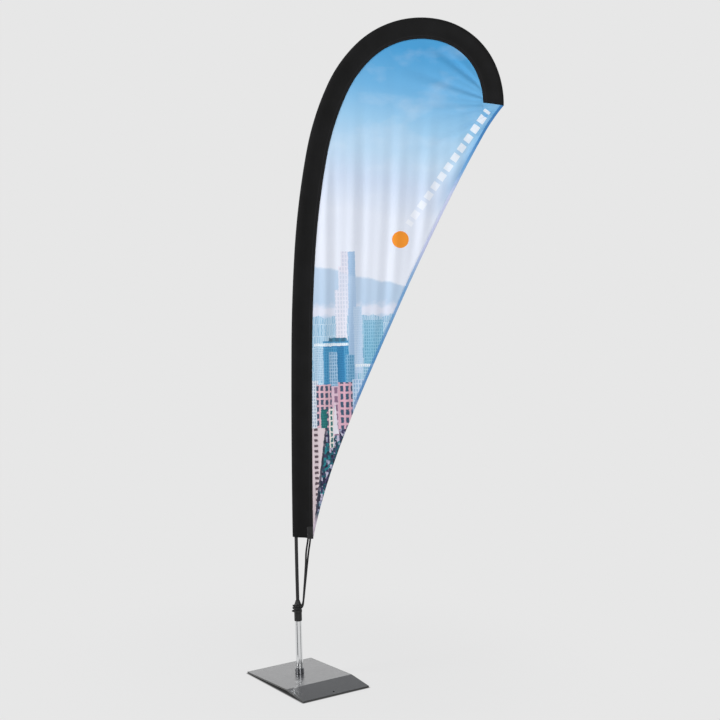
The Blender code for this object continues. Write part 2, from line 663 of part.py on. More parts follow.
def build_pocket():
    """The black sleeve: a tube of cloth, open at the hem and closed at the mast's tip."""
    rings = []
    for share in pocket_shares():
        front = pocket_section(share)
        back = [(w, -h) for w, h in reversed(front) if h > 0]
        rings.append([pocket_point(share, w, h) for w, h in front + back])

    def loft(shape):
        rows = [[shape.verts.new(point) for point in ring] for ring in rings]
        count = len(rows[0])
        for low, high in zip(rows, rows[1:]):
            for i in range(count):
                j = (i + 1) % count
                shape.faces.new((low[i], low[j], high[j], high[i]))
        shape.faces.new(rows[-1])

    pocket = place("pole_sleeve", smooth(mesh_from("pole_sleeve", loft)), FLAG,
                   ("222222", 0.8, 0.0))
    wall = pocket.modifiers.new("cloth", "SOLIDIFY")
    wall.thickness = POCKET_WALL
    wall.offset = -1
    wall.use_even_offset = True
    boolean(pocket, eyelet_hole("pocket_eyelet_hole"), "DIFFERENCE")


def pocket_footprint():
    """Cutter that keeps the panel and its hem clear of the pocket."""
    shares = pocket_shares()
    outer = [pocket_point(s, -along(POCKET_OUTSIDE, s) - GAP) for s in shares]
    inner = [pocket_point(s, along(POCKET_INSIDE, s) + GAP) for s in shares]
    step_up = (outer[-1] - outer[-2]).normalized() * GAP
    step_down = (outer[0] - outer[1]).normalized() * GAP
    ends = [outer[0] + step_down, *outer[1:-1], outer[-1] + step_up]
    sides = [inner[0] + step_down, *inner[1:-1], inner[-1] + step_up]
    points = [(p.x, p.z) for p in ends + sides[::-1]]
    return helper("pocket_footprint", upright("pocket_footprint", points, 0.02), FLAG)


def upright(name, points, thickness):
    """A flat piece in the flag's plane, from points (along the flag, up the spindle)."""
    mesh = as_mesh(name, flat_outline(name, points, thickness))
    mesh.transform(Matrix.Rotation(math.pi / 2, 4, "X"))
    return smooth(mesh, 30)


def trailing_point(share):
    """A point of the hollow trailing edge: well in over its lower half, and in again by the tip."""
    low = pocket_point(0, along(POCKET_INSIDE, 0) + GAP)
    high = pocket_point(1, -along(POCKET_OUTSIDE, 1))
    chord = high - low
    inward = Vector((-chord.z, 0, chord.x)).normalized()
    off_middle = abs(2 * share - 1)
    lost = off_middle ** 3.5 if share < 0.5 else 0.7 * off_middle ** 2 + 0.3 * off_middle ** 12
    return low + chord * share + inward * TRAILING_HOLLOW * (1 - lost)


def trailing_edge(offset, pieces=22):
    """Points (along the flag, up the spindle) of the trailing edge, or of a line inside it."""
    points = []
    for i in range(pieces + 1):
        share = (1 - math.cos(math.pi * i / pieces)) / 2
        along_it = trailing_point(share + 0.002) - trailing_point(share - 0.002)
        inward = Vector((-along_it.z, 0, along_it.x)).normalized()
        point = trailing_point(share) + inward * offset
        points.append((point.x, point.z))
    return points


def build_flag():
    footprint = pocket_footprint()
    axis = [flag_point(d, 0) for d in mast_stations(HEM_HEIGHT, MAST_LENGTH - TIP_MARGIN)]
    edge = trailing_edge(HEM_STRIP_WIDTH + GAP)
    outline = [(p.x, p.z) for p in axis] + edge[::-1]
    panel = place("flag_panel", upright("flag_panel", outline, PANEL_THICKNESS), FLAG,
                  ("9fc6e6", 0.75, 0.0))
    boolean(panel, footprint, "DIFFERENCE")

    outline = trailing_edge(0) + trailing_edge(HEM_STRIP_WIDTH)[::-1]
    strip = place("trailing_hem", upright("trailing_hem", outline, HEM_STRIP_THICKNESS), FLAG,
                  ("4f93c9", 0.75, 0.0))
    boolean(strip, footprint, "DIFFERENCE")


def tab_frame():
    """Middle of the tab: along the flag, and the height of its lower end."""
    corner = pocket_point(0, along(POCKET_INSIDE, 0))
    return corner.x - TAB_WIDTH / 2, corner.z - GAP - TAB_THICKNESS


def eyelet_spot():
    corner = pocket_point(0, along(POCKET_INSIDE, 0))
    return corner.x - EYELET_INSET, tab_frame()[1] + EYELET_RISE


def eyelet_hole(name):
    x, z = eyelet_spot()
    return helper(name, cylinder(name, EYELET_BARREL / 2 + GAP, 0.03, 24), FLAG,
                  location=(x, 0, z), rotation=(math.pi / 2, 0, 0))


def build_tab():
    """Webbing folded under the pocket's inner corner, the eyelet through it, and the knot."""
    middle, foot = tab_frame()
    inner = POCKET_EDGE + 0.0009
    outer = inner + TAB_THICKNESS
    fold = foot + TAB_THICKNESS
    section = [
        (-outer, foot + TAB_HEIGHT), (-outer, foot + 0.001), (-outer + 0.001, foot),
        (outer - 0.001, foot), (outer, foot + 0.001), (outer, foot + TAB_HEIGHT),
        (inner, foot + TAB_HEIGHT), (inner, fold), (-inner, fold), (-inner, foot + TAB_HEIGHT),
    ]
    mesh = as_mesh("corner_tab", flat_outline("corner_tab", section, TAB_WIDTH))
    mesh.transform(Matrix.Rotation(math.pi / 2, 4, "Z") @ Matrix.Rotation(math.pi / 2, 4, "X"))
    tab = place("corner_tab", mesh, FLAG, ("2a2a2a", 0.7, 0.0), location=(middle, 0, 0))
    boolean(tab, eyelet_hole("tab_eyelet_hole"), "DIFFERENCE")

    x, z = eyelet_spot()
    barrel, bore, flange = EYELET_BARREL / 2, EYELET_BORE / 2, EYELET_FLANGE / 2
    face, rim = outer + GAP, outer + GAP + 0.0008
    turned("eyelet", [
        (barrel, rim), (flange - 0.0004, rim), (flange, rim - 0.0004), (flange, face),
        (barrel, face), (barrel, -face), (flange, -face), (flange, -rim + 0.0004),
        (flange - 0.0004, -rim), (bore, -rim), (bore, rim),
    ], FLAG, ("3a3a3b", 0.4, 0.8), ring=True, steps=24,
        location=(x, 0, z), rotation=(math.pi / 2, 0, 0))

    width, depth, height = KNOT_SIZE
    back = rim + GAP + depth / 2
    block = mesh_from("cord_knot", lambda shape: bmesh.ops.create_cube(
        shape, size=1, matrix=Matrix.Diagonal((width, depth, height, 1))))
    knot = place("cord_knot", block, FLAG, ("262626", 0.8, 0.0), location=(x, back, z))
    bevel(knot, 0.003, 3)
    neck = helper("knot_neck", cylinder("knot_neck", bore - GAP, depth / 2 + rim, 16), FLAG,
                  location=(x, back / 2, z), rotation=(math.pi / 2, 0, 0))
    boolean(knot, neck, "UNION")
    return x, back, z - height / 2 - GAP


# ---------------------------------------------------------------- elastic cord
def smooth_route(points, spacing):
    """Evenly spaced points on a smooth curve through the route's own points."""
    points = [Vector(point) for point in points]
    padded = [2 * points[0] - points[1], *points, 2 * points[-1] - points[-2]]
    fine = []
    for a, b, c, d in zip(padded, padded[1:], padded[2:], padded[3:]):
        for i in range(12):
            t = i / 12
            fine.append(0.5 * (2 * b + (c - a) * t + (2 * a - 5 * b + 4 * c - d) * t ** 2
                               + (3 * b - a - 3 * c + d) * t ** 3))
    fine.append(points[-1])
    total = sum((q - p).length for p, q in zip(fine, fine[1:]))
    count = round(total / spacing)
    even, travelled, wanted = [fine[0]], 0.0, total / count
    for p, q in zip(fine, fine[1:]):
        travelled += (q - p).length
        while travelled >= wanted * len(even) and len(even) < count:
            back = (travelled - wanted * len(even)) / (q - p).length
            even.append(q.lerp(p, back))
    return even + [fine[-1]]


def build_cord(knot_x, knot_y, knot_foot):
    """One elastic cord: down from the knot, round the ferrule's neck, and up again."""
    r, h = CORD_WRAP_RADIUS, CORD_WRAP_HEIGHT
    down = [
        (knot_x - 0.0034, knot_y, knot_foot), (knot_x - 0.0040, knot_y - 0.0004, knot_foot - 0.014),
        (0.0325, 0.0072, 0.400), (0.0296, 0.0028, 0.360), (0.0255, -0.0010, 0.315),
        (0.0216, -0.0040, 0.275), (0.0188, -0.0057, 0.246), (0.0176, -0.0068, 0.234),
        (0.0150, -0.0088, 0.2250), (0.0095, -0.0115, h + 0.0016),
    ]
    turns = [math.radians(angle) for angle in range(-85, -276, -19)]
    wrap = [(r * math.cos(a), r * math.sin(a), h) for a in turns]
    up = [
        (0.0095, 0.0115, h + 0.0016), (0.0150, 0.0088, 0.2250), (0.0178, 0.0074, 0.234),
        (0.0203, 0.0072, 0.246), (0.0240, 0.0078, 0.275), (0.0292, 0.0084, 0.315),
        (0.0350, 0.0090, 0.360), (0.0405, 0.0096, 0.400),
        (knot_x + 0.0036, knot_y - 0.0002, knot_foot - 0.014), (knot_x + 0.0034, knot_y, knot_foot),
    ]
    points = smooth_route(down, 0.011) + wrap + smooth_route(up, 0.011)
    place("tension_cord", round_bar("tension_cord", points, CORD_DIAMETER / 2), FLAG,
          ("2a2a2b", 0.75, 0.0))


# ---------------------------------------------------------------- the whole object
def centre_over_floor():
    """Puts the origin on the floor, under the middle of everything."""
    bpy.context.view_layer.update()
    graph = bpy.context.evaluated_depsgraph_get()
    corners = []
    for thing in PARTS.objects:
        if thing.type != "EMPTY":
            shown = thing.evaluated_get(graph)
            shape = shown.to_mesh()
            corners += [shown.matrix_world @ vertex.co for vertex in shape.vertices]
            shown.to_mesh_clear()
    for axis in (0, 1):
        values = [corner[axis] for corner in corners]
        FLOOR.location[axis] = -(min(values) + max(values)) / 2


clear_scene()
PARTS = new_collection("teardrop_flag")
HELPERS = new_collection("cutters", helper=True)
FLOOR = empty("floor_under_spindle")
SPINDLE = empty("spindle_axis", FLOOR, (0, 0, FOOT_HEIGHT), (-TILT, 0, 0))
FLAG = empty("flag_plane", SPINDLE, rotation=(0, 0, math.radians(FLAG_HEADING)))

build_base()
build_rotator_base()
build_bearing("lower", LOWER_BEARING)
build_bearing("upper", UPPER_BEARING)
build_barrel()
build_mast_foot()
build_mast()
build_pocket()
build_flag()
build_cord(*build_tab())
centre_over_floor()
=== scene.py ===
"""The looks of a small teardrop flag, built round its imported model.

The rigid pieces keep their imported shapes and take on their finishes. Everything sewn or
tied is made again as cloth, webbing and cord: the black pocket, the printed panel and its
hem, the corner tab, and the elastic cord with its knot.

All of the cloth is laid out in the flag's own plane: s runs out from the mast's foot,
t runs up along it, and side stands out of the plane. All three are in metres.
"""
import json
import math

import bmesh
import bpy
import numpy as np
from mathutils import Matrix, Vector


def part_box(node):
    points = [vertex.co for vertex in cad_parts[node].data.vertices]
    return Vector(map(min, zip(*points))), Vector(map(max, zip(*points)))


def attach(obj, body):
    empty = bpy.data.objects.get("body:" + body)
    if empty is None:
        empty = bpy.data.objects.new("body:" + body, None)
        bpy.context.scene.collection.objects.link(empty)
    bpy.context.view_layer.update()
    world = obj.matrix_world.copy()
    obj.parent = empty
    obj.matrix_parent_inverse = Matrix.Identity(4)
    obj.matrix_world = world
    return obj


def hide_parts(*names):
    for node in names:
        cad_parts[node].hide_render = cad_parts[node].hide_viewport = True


MM = 0.001

# ---------------------------------------------------------------- the flag's plan
FLAG_HEADING = math.radians(-30)  # of the flag's plane, turned about the mast's foot
MOUTH = 0.2435  # where the rod leaves the ferrule
MAST_ARCS = (  # (length, turn in degrees) of the bent mast
    (0.260, 0.7), (0.560, 1.1), (0.310, 3.1), (0.320, 7.0), (0.220, 14.5),
    (0.150, 20.6), (0.290, 56.6), (0.220, 52.9), (0.130, 25.3),
)
MAST_LENGTH = sum(length for length, _ in MAST_ARCS)
POCKET_WIDTH = 0.067
POCKET_OUTSIDE = (0.0115, 0.0085)  # from the rod's axis to the outer edge, at hem and tip
HEM_HEIGHT = 0.2108  # how far up the mast the pocket starts
HEM_SLANT = -0.0083  # how far the hem rises from its outer edge to its inner edge
END_SLANT = 0.010  # how far short of the tip the inner edge ends
TRAILING_HOLLOW = 0.049  # of the free edge, in from its straight line
HEM_STRIP = 0.009  # width of the free edge's hem
TAB_SIZE = (0.020, 0.040)
CORD_DIAMETER = 0.006


# ---------------------------------------------------------------- finishes
def linear(hex_colour):
    """Linear RGBA of an sRGB hex colour."""
    values = [int(hex_colour[i:i + 2], 16) / 255 for i in (0, 2, 4)]
    return [v / 12.92 if v <= 0.04045 else ((v + 0.055) / 1.055) ** 2.4 for v in values] + [1.0]


def connect(tree, value, socket):
    """Links a socket, or a node's first output, to an input, or sets the input's value."""
    if isinstance(value, bpy.types.Node):
        value = next(output for output in value.outputs if output.enabled)
    if isinstance(value, bpy.types.NodeSocket):
        tree.links.new(value, socket)
    else:
        socket.default_value = value


def add(tree, kind, inputs=(), **settings):
    """Adds one node, with its settings, and its inputs in order or by name."""
    made = tree.nodes.new("ShaderNode" + kind)
    for name, value in settings.items():
        setattr(made, name, value)
    for name, value in inputs.items() if isinstance(inputs, dict) else enumerate(inputs):
        connect(tree, value, made.inputs[name])
    return made


def new_finish(name, **surface):
    """A material whose one shader has these values. Returns it with its tree and shader."""
    material = bpy.data.materials.new(name)
    material.use_nodes = True
    tree = material.node_tree
    shader = tree.nodes["Principled BSDF"]
    for socket, value in surface.items():
        shader.inputs[socket.replace("_", " ")].default_value = value
    return material, tree, shader


def relief(tree, shader, height, depth, strength=0.5):
    """Gives the surface a fine relief of this depth in metres."""
    bump = add(tree, "Bump", {"Height": height, "Distance": depth, "Strength": strength})
    tree.links.new(bump.outputs["Normal"], shader.inputs["Normal"])


def per_millimetre(size):
    """The texture scale that makes one feature this many millimetres wide."""
    return 1 / (size * MM)


def band_scale(width):
    """The texture scale that makes bands and gaps this many millimetres wide."""
    return per_millimetre(width) / 6.28


def stops(ramp, pairs):
    """Sets a colour ramp's stops from (position, sRGB hex) pairs."""
    elements = ramp.color_ramp.elements
    while len(elements) < len(pairs):
        elements.new(0.5)
    for element, (position, colour) in zip(elements, pairs):
        element.position = position
        element.color = linear(colour)


def powder_coated_steel():
    """Anthracite powder coat: a satin skin with a slight orange peel and a few fine scuffs."""
    material, tree, shader = new_finish("powder_coated_steel", Roughness=0.34, IOR=1.52,
                                        Coat_Weight=0.9, Coat_Roughness=0.2)
    place = add(tree, "TexCoord").outputs["Object"]
    peel = add(tree, "TexNoise", {"Vector": place, "Scale": per_millimetre(1.6), "Detail": 2.0})
    cloud = add(tree, "TexNoise", {"Vector": place, "Scale": per_millimetre(60), "Detail": 4.0})
    tint = add(tree, "ValToRGB", [cloud])
    stops(tint, [(0.3, "3B3C3E"), (0.7, "424345")])
    # painted shade: the plate's upright side faces are painted nearly black, as they fall in shade
    normal = add(tree, "NewGeometry").outputs["True Normal"]
    facing = add(tree, "SeparateXYZ", [normal])
    edge = add(tree, "Math", [facing.outputs["Z"], 0.6], operation="LESS_THAN")
    colour = add(tree, "Mix", {"Factor": edge, "A": tint, "B": linear("0C0C0D")}, data_type="RGBA")
    connect(tree, colour, shader.inputs["Base Color"])
    drawn_out = add(tree, "VectorMath", [place, (1.0, 9.0, 1.0)], operation="MULTIPLY")
    scuffs = add(tree, "TexNoise",
                 {"Vector": drawn_out, "Scale": per_millimetre(22), "Detail": 6.0})
    wear = add(tree, "MapRange",
               {"Value": scuffs, "From Min": 0.35, "From Max": 0.75,
                "To Min": 0.30, "To Max": 0.40})
    connect(tree, wear, shader.inputs["Roughness"])
    relief(tree, shader, peel, 0.01 * MM, 0.12)
    return material


def plated_steel(name, colour):
    """Polished chrome plate, at full brightness or darkened to paint the dark reflection it shows:
    a mirror with faint smears.
    """
    material, tree, shader = new_finish(name, Metallic=1.0, Roughness=0.08,
                                        Base_Color=linear(colour))
    place = add(tree, "TexCoord").outputs["Object"]
    drawn_out = add(tree, "VectorMath", [place, (1.0, 1.0, 0.3)], operation="MULTIPLY")
    smears = add(tree, "TexNoise",
                 {"Vector": drawn_out, "Scale": per_millimetre(14), "Detail": 5.0})
    dulling = add(tree, "MapRange",
                  {"Value": smears, "From Min": 0.35, "From Max": 0.7,
                   "To Min": 0.05, "To Max": 0.13})
    connect(tree, dulling, shader.inputs["Roughness"])
    return material


def turned_steel(name, colour, roughness):
    """Steel turned on a lathe: bright, with fine rings round it."""
    material, tree, shader = new_finish(name, Metallic=1.0, Roughness=roughness,
                                        Base_Color=linear(colour))
    place = add(tree, "TexCoord").outputs["Object"]
    rings = add(tree, "TexWave",
                {"Vector": place, "Scale": per_millimetre(6), "Distortion": 0.5},
                bands_direction="Z").outputs["Fac"]
    relief(tree, shader, rings, 0.01 * MM, 0.3)
    return material


def moulded_nylon(name, colour, roughness=0.46):
    """Glass-filled nylon as it leaves the mould: a fine spark-eroded grain."""
    material, tree, shader = new_finish(name, Roughness=roughness, IOR=1.53,
                                        Base_Color=linear(colour), Specular_IOR_Level=0.35)
    place = add(tree, "TexCoord").outputs["Object"]
    grain = add(tree, "TexNoise", {"Vector": place, "Scale": per_millimetre(0.8), "Detail": 3.0})
    relief(tree, shader, grain, 0.06 * MM, 0.5)
    return material


def pultruded_glass_fibre():
    """Black glass-fibre rod: satin resin with strands that run its length."""
    material, tree, shader = new_finish("pultruded_glass_fibre", Roughness=0.5, IOR=1.5,
                                        Specular_IOR_Level=0.3)
    place = add(tree, "TexCoord").outputs["Object"]
    drawn_out = add(tree, "VectorMath", [place, (1.0, 1.0, 0.02)], operation="MULTIPLY")
    strands = add(tree, "TexNoise",
                  {"Vector": drawn_out, "Scale": per_millimetre(0.9), "Detail": 3.0})
    tint = add(tree, "ValToRGB", [strands])
    stops(tint, [(0.3, "1A1A1B"), (0.75, "2A2A2B")])
    connect(tree, tint, shader.inputs["Base Color"])
    relief(tree, shader, strands, 0.03 * MM, 0.4)
    return material


def rubber():
    """Moulded black rubber: dull, with a faint bloom."""
    material, tree, shader = new_finish("moulded_rubber", Roughness=0.85, IOR=1.52)
    place = add(tree, "TexCoord").outputs["Object"]
    bloom = add(tree, "TexNoise", {"Vector": place, "Scale": per_millimetre(5), "Detail": 5.0})
    tint = add(tree, "ValToRGB", [bloom])
    stops(tint, [(0.35, "181818"), (0.7, "242424")])
    connect(tree, tint, shader.inputs["Base Color"])
    return material


def stitch_line(tree, along, across, at, pitch=3.5, width=0.9):
    """A mask of lockstitches in a row: dashes of thread at one distance across a seam."""
    dash = add(tree, "Math", [along, per_millimetre(pitch)], operation="MULTIPLY")
    dash = add(tree, "Math", [dash], operation="FRACT")
    thread = add(tree, "Math", [dash, 0.5, 0.36], operation="COMPARE")
    row = add(tree, "Math", [across, at, width * MM / 2], operation="COMPARE")
    return add(tree, "Math", [thread, row], operation="MULTIPLY")


def weave(tree, plane, width):
    """Height of a plain weave: threads this many millimetres wide, over and under."""
    warp, weft = [
        add(tree, "TexWave", {"Vector": plane, "Scale": band_scale(width), "Distortion": 0.6},
            bands_direction=direction).outputs["Fac"] for direction in "XY"]
    return add(tree, "Math", [warp, weft], operation="MAXIMUM")


def black_pocket_cloth():
    """Black woven polyester: matt, with a soft sheen, and two stitched rows by its seam."""
    material, tree, shader = new_finish("black_pocket_cloth", Roughness=0.8, IOR=1.4,
                                        Specular_IOR_Level=0.25, Sheen_Weight=0.06,
                                        Sheen_Roughness=0.4)
    plane = add(tree, "UVMap", uv_map="cloth").outputs["UV"]
    split = add(tree, "SeparateXYZ", [plane])
    along, across = split.outputs["X"], split.outputs["Y"]
    by_seam = stitch_line(tree, along, across, POCKET_WIDTH - 0.004)
    further_in = stitch_line(tree, along, across, POCKET_WIDTH - 0.010)
    stitches = add(tree, "Math", [by_seam, further_in], operation="ADD")
    cloud = add(tree, "TexNoise", {"Vector": plane, "Scale": per_millimetre(70), "Detail": 4.0})
    cloth = add(tree, "ValToRGB", [cloud])
    stops(cloth, [(0.3, "101010"), (0.75, "171718")])
    colour = add(tree, "Mix", {"Factor": stitches, "A": cloth, "B": linear("2E2E30")},
                 data_type="RGBA")
    connect(tree, colour, shader.inputs["Base Color"])
    # the threads are finer than this, and drawn as coarse as they need to be seen
    height = add(tree, "Math", [stitches, -1.5, weave(tree, plane, 1.1)], operation="MULTIPLY_ADD")
    relief(tree, shader, height, 0.10 * MM, 0.4)
    return material


def webbing():
    """Black polypropylene webbing: coarse ribs across a tight weave."""
    material, tree, shader = new_finish("ribbed_webbing", Roughness=0.65, IOR=1.49,
                                        Specular_IOR_Level=0.3, Sheen_Weight=0.1,
                                        Sheen_Roughness=0.4)
    plane = add(tree, "UVMap", uv_map="cloth").outputs["UV"]
    split = add(tree, "SeparateXYZ", [plane])
    across, along = split.outputs["X"], split.outputs["Y"]
    ribs = add(tree, "TexWave", {"Vector": plane, "Scale": band_scale(1.6), "Distortion": 0.4},
               bands_direction="Y").outputs["Fac"]
    tint = add(tree, "ValToRGB", [ribs])
    stops(tint, [(0.2, "161616"), (0.8, "2C2C2D")])
    left, right = [stitch_line(tree, along, across, at) for at in (0.002, TAB_SIZE[0] - 0.002)]
    stitches = add(tree, "Math", [left, right], operation="ADD")
    colour = add(tree, "Mix", {"Factor": stitches, "A": tint, "B": linear("3A3A3C")},
                 data_type="RGBA")
    connect(tree, colour, shader.inputs["Base Color"])
    relief(tree, shader, ribs, 0.25 * MM, 0.7)
    return material


def braided_elastic():
    """Braided elastic cord: two sets of strands that cross on its skin."""
    material, tree, shader = new_finish("braided_elastic", Roughness=0.8, IOR=1.45,
                                        Specular_IOR_Level=0.25, Sheen_Weight=0.05,
                                        Sheen_Roughness=0.5)
    plane = add(tree, "UVMap", uv_map="cloth").outputs["UV"]
    one, other = [add(tree, "VectorMath", [plane, (per_millimetre(3.4), lay, 0.0)],
                      operation="MULTIPLY") for lay in (4.0, -4.0)]
    one, other = [add(tree, "TexWave", {"Vector": set_of, "Scale": 1.0},
                      bands_direction="DIAGONAL").outputs["Fac"] for set_of in (one, other)]
    strands = add(tree, "Math", [one, other], operation="MAXIMUM")
    tint = add(tree, "ValToRGB", [strands])
    stops(tint, [(0.2, "161617"), (0.9, "2E2E30")])
    connect(tree, tint, shader.inputs["Base Color"])
    relief(tree, shader, strands, 0.25 * MM, 0.6)
    return material


# ---------------------------------------------------------------- the print
SKY_SPAN = (1.32, 2.08)  # the heights that the sky's colours run between
SKY = (  # from the skyline's haze to the top
    (0.00, "E2E7F3"), (0.20, "DDE4F2"), (0.34, "C9D8EE"), (0.47, "B7D5EE"),
    (0.60, "98C8EA"), (0.74, "6CB1E0"), (0.92, "429BD3"),
)
SKYLINE = 1.331  # where the far hills would meet the mast
HAZE_BANK = 1.180
FAR_SHORE = 1.150
ROOFTOPS = 0.940  # of the near quarter
BUILDINGS = (  # (left, right, foot, top, wall, glass, window in mm), back to front, in metres
    (0.188, 0.214, 0.950, 1.371, "A6C3E2", "9ABADC", 5),
    (0.169, 0.192, 1.270, 1.372, "DCDDEB", "CCD0E2", 9),
    (0.160, 0.190, 1.190, 1.325, "E2E1EE", "CDD0E1", 9),
    (0.147, 0.184, 1.090, 1.250, "E6E4F0", "CFD3E3", 9),
    (0.205, 0.232, 0.980, 1.195, "BFD4EB", "A9C6E2", 5),
    (0.236, 0.300, 1.008, 1.150, "8CC0DA", "5FA2C4", 7),
    (0.232, 0.300, 0.930, 1.000, "A9CCE2", "6FA6C8", 6),
    (0.077, 0.107, 0.960, 1.060, "B9D2E6", "8CB4D0", 5),
    (0.105, 0.187, 0.940, 1.086, "4F9AC4", "2C7DB0", 6),
    (0.150, 0.172, 0.940, 1.078, "2F83B4", "1F6C9E", 5),
    (0.124, 0.181, 1.084, 1.096, "2B7796", "22627F", 20),
    (0.077, 0.186, 1.070, 1.079, "E8F0F7", "C6DAEA", 6),
    (0.208, 0.300, 1.000, 1.009, "EAF0F6", "C2D6E8", 6),
    (0.122, 0.150, 0.930, 1.050, "9FC0DA", "5E93BC", 7),
    (0.176, 0.205, 0.940, 1.040, "7FB1D2", "4C8CB8", 7),
    (0.060, 0.086, 0.800, 0.960, "DCE2EC", "9FB2C8", 7),
    (0.196, 0.260, 0.850, 0.960, "BFD3EA", "8FB4D6", 9),
    (0.080, 0.128, 0.796, 0.946, "D6AEBC", "3A4E66", 15),
    (0.128, 0.150, 0.780, 0.940, "D8BACB", "8A6A86", 19),
    (0.150, 0.196, 0.800, 0.952, "D3A6B8", "34506A", 17),
    (0.092, 0.112, 0.804, 0.866, "0F5B60", "1C7F7C", 6),
    (0.118, 0.132, 0.740, 0.868, "E6E0DC", "2A6E70", 12),
)
SPIRE_AXIS, SPIRE_FOOT = 0.139, 0.785
HOUSE_TOP = 0.806  # of the house beside the pocket
STOREY = 17.6  # its windows' spacing, in millimetres
WINDOW_AXIS, WINDOW_HALF = 0.0742, 0.0062
# half width of the dark stripe of painted shadow past the house
FOLD_SHADOW_HALF = 0.0035
DISC, DISC_RADIUS = (0.362, 1.405), 0.027
ROW_LEAN = math.radians(53.6)  # of the row of blocks, which runs on from the disc
ROW_MIDDLE, ROW_HALF_LENGTH = 0.275, 0.222
ROW_OFFSET, ROW_HALF_WIDTH = 0.006, 0.0115
BLOCK_SPACING = 37  # in millimetres


def rectangle(tree, s, t, left, right, foot, top):
    """A mask of what lies between these sides, in metres."""
    across = add(tree, "Math", [s, (left + right) / 2, (right - left) / 2], operation="COMPARE")
    up = add(tree, "Math", [t, (foot + top) / 2, (top - foot) / 2], operation="COMPARE")
    return add(tree, "Math", [across, up], operation="MULTIPLY")


def sky(tree, flat, s, t):
    """The sky's colour, bluer towards the top and the free side, under a thin veil of cloud."""
    lean = add(tree, "Math", [s, 0.20, -0.07], operation="MULTIPLY_ADD")
    height = add(tree, "Math", [t, lean], operation="ADD")
    share = add(tree, "MapRange",
                {"Value": height, "From Min": SKY_SPAN[0], "From Max": SKY_SPAN[1]})
    clear = add(tree, "ValToRGB", [share])
    stops(clear, SKY)
    drawn_out = add(tree, "VectorMath", [flat, (1.0, 1.6, 0.0)], operation="MULTIPLY")
    clouds = add(tree, "TexNoise", {"Vector": drawn_out, "Scale": 7.0, "Detail": 4.0})
    veil = add(tree, "MapRange",
               {"Value": clouds, "From Min": 0.5, "From Max": 0.8, "To Min": 0.0, "To Max": 0.25})
    return add(tree, "Mix", {"Factor": veil, "A": clear, "B": linear("EAF0FA")}, data_type="RGBA")


def far_city(tree, flat, millimetres, s, t):
    """(mask, colour) of hills that fall away to the free side, a bank of haze and a far shore."""
    level = add(tree, "VectorMath", [flat, (1.0, 0.0, 0.0)], operation="MULTIPLY")
    rough = add(tree, "TexNoise", {"Vector": level, "Scale": 11.0, "Detail": 1.5})
    slope = add(tree, "Math", [s, -0.24, SKYLINE], operation="MULTIPLY_ADD")
    ridge = add(tree, "Math", [rough, 0.030, slope], operation="MULTIPLY_ADD")
    below = add(tree, "Math", [ridge, t], operation="SUBTRACT")
    hills = add(tree, "MapRange", {"Value": below, "From Min": -0.003, "From Max": 0.005})

    drawn_out = add(tree, "VectorMath", [flat, (1.0, 1.4, 0.0)], operation="MULTIPLY")
    puffs = add(tree, "TexNoise", {"Vector": drawn_out, "Scale": per_millimetre(26), "Detail": 3.0})
    from_bank = add(tree, "Math", [t, HAZE_BANK], operation="SUBTRACT")
    from_bank = add(tree, "Math", [from_bank], operation="ABSOLUTE")
    from_bank = add(tree, "Math", [puffs, -0.045, from_bank], operation="MULTIPLY_ADD")
    haze = add(tree, "MapRange",
               {"Value": from_bank, "From Min": -0.014, "From Max": 0.008, "To Min": 0.85,
                "To Max": 0.0})

    waterline = add(tree, "Math", [puffs, 0.03, FAR_SHORE], operation="MULTIPLY_ADD")
    shore = add(tree, "Math", [t, waterline], operation="LESS_THAN")
    district = add(tree, "TexBrick",
                   {"Vector": millimetres, "Color1": linear("9CC4DE"), "Color2": linear("74A9CA"),
                    "Mortar": linear("CFE0EE"), "Scale": 1.0, "Mortar Size": 0.9,
                    "Mortar Smooth": 0.6, "Brick Width": 5.5, "Row Height": 38.0, "Bias": -0.1})
    return hills, [(hills, linear("B3CBE4")), (haze, linear("E4E4F1")), (shore, district)]


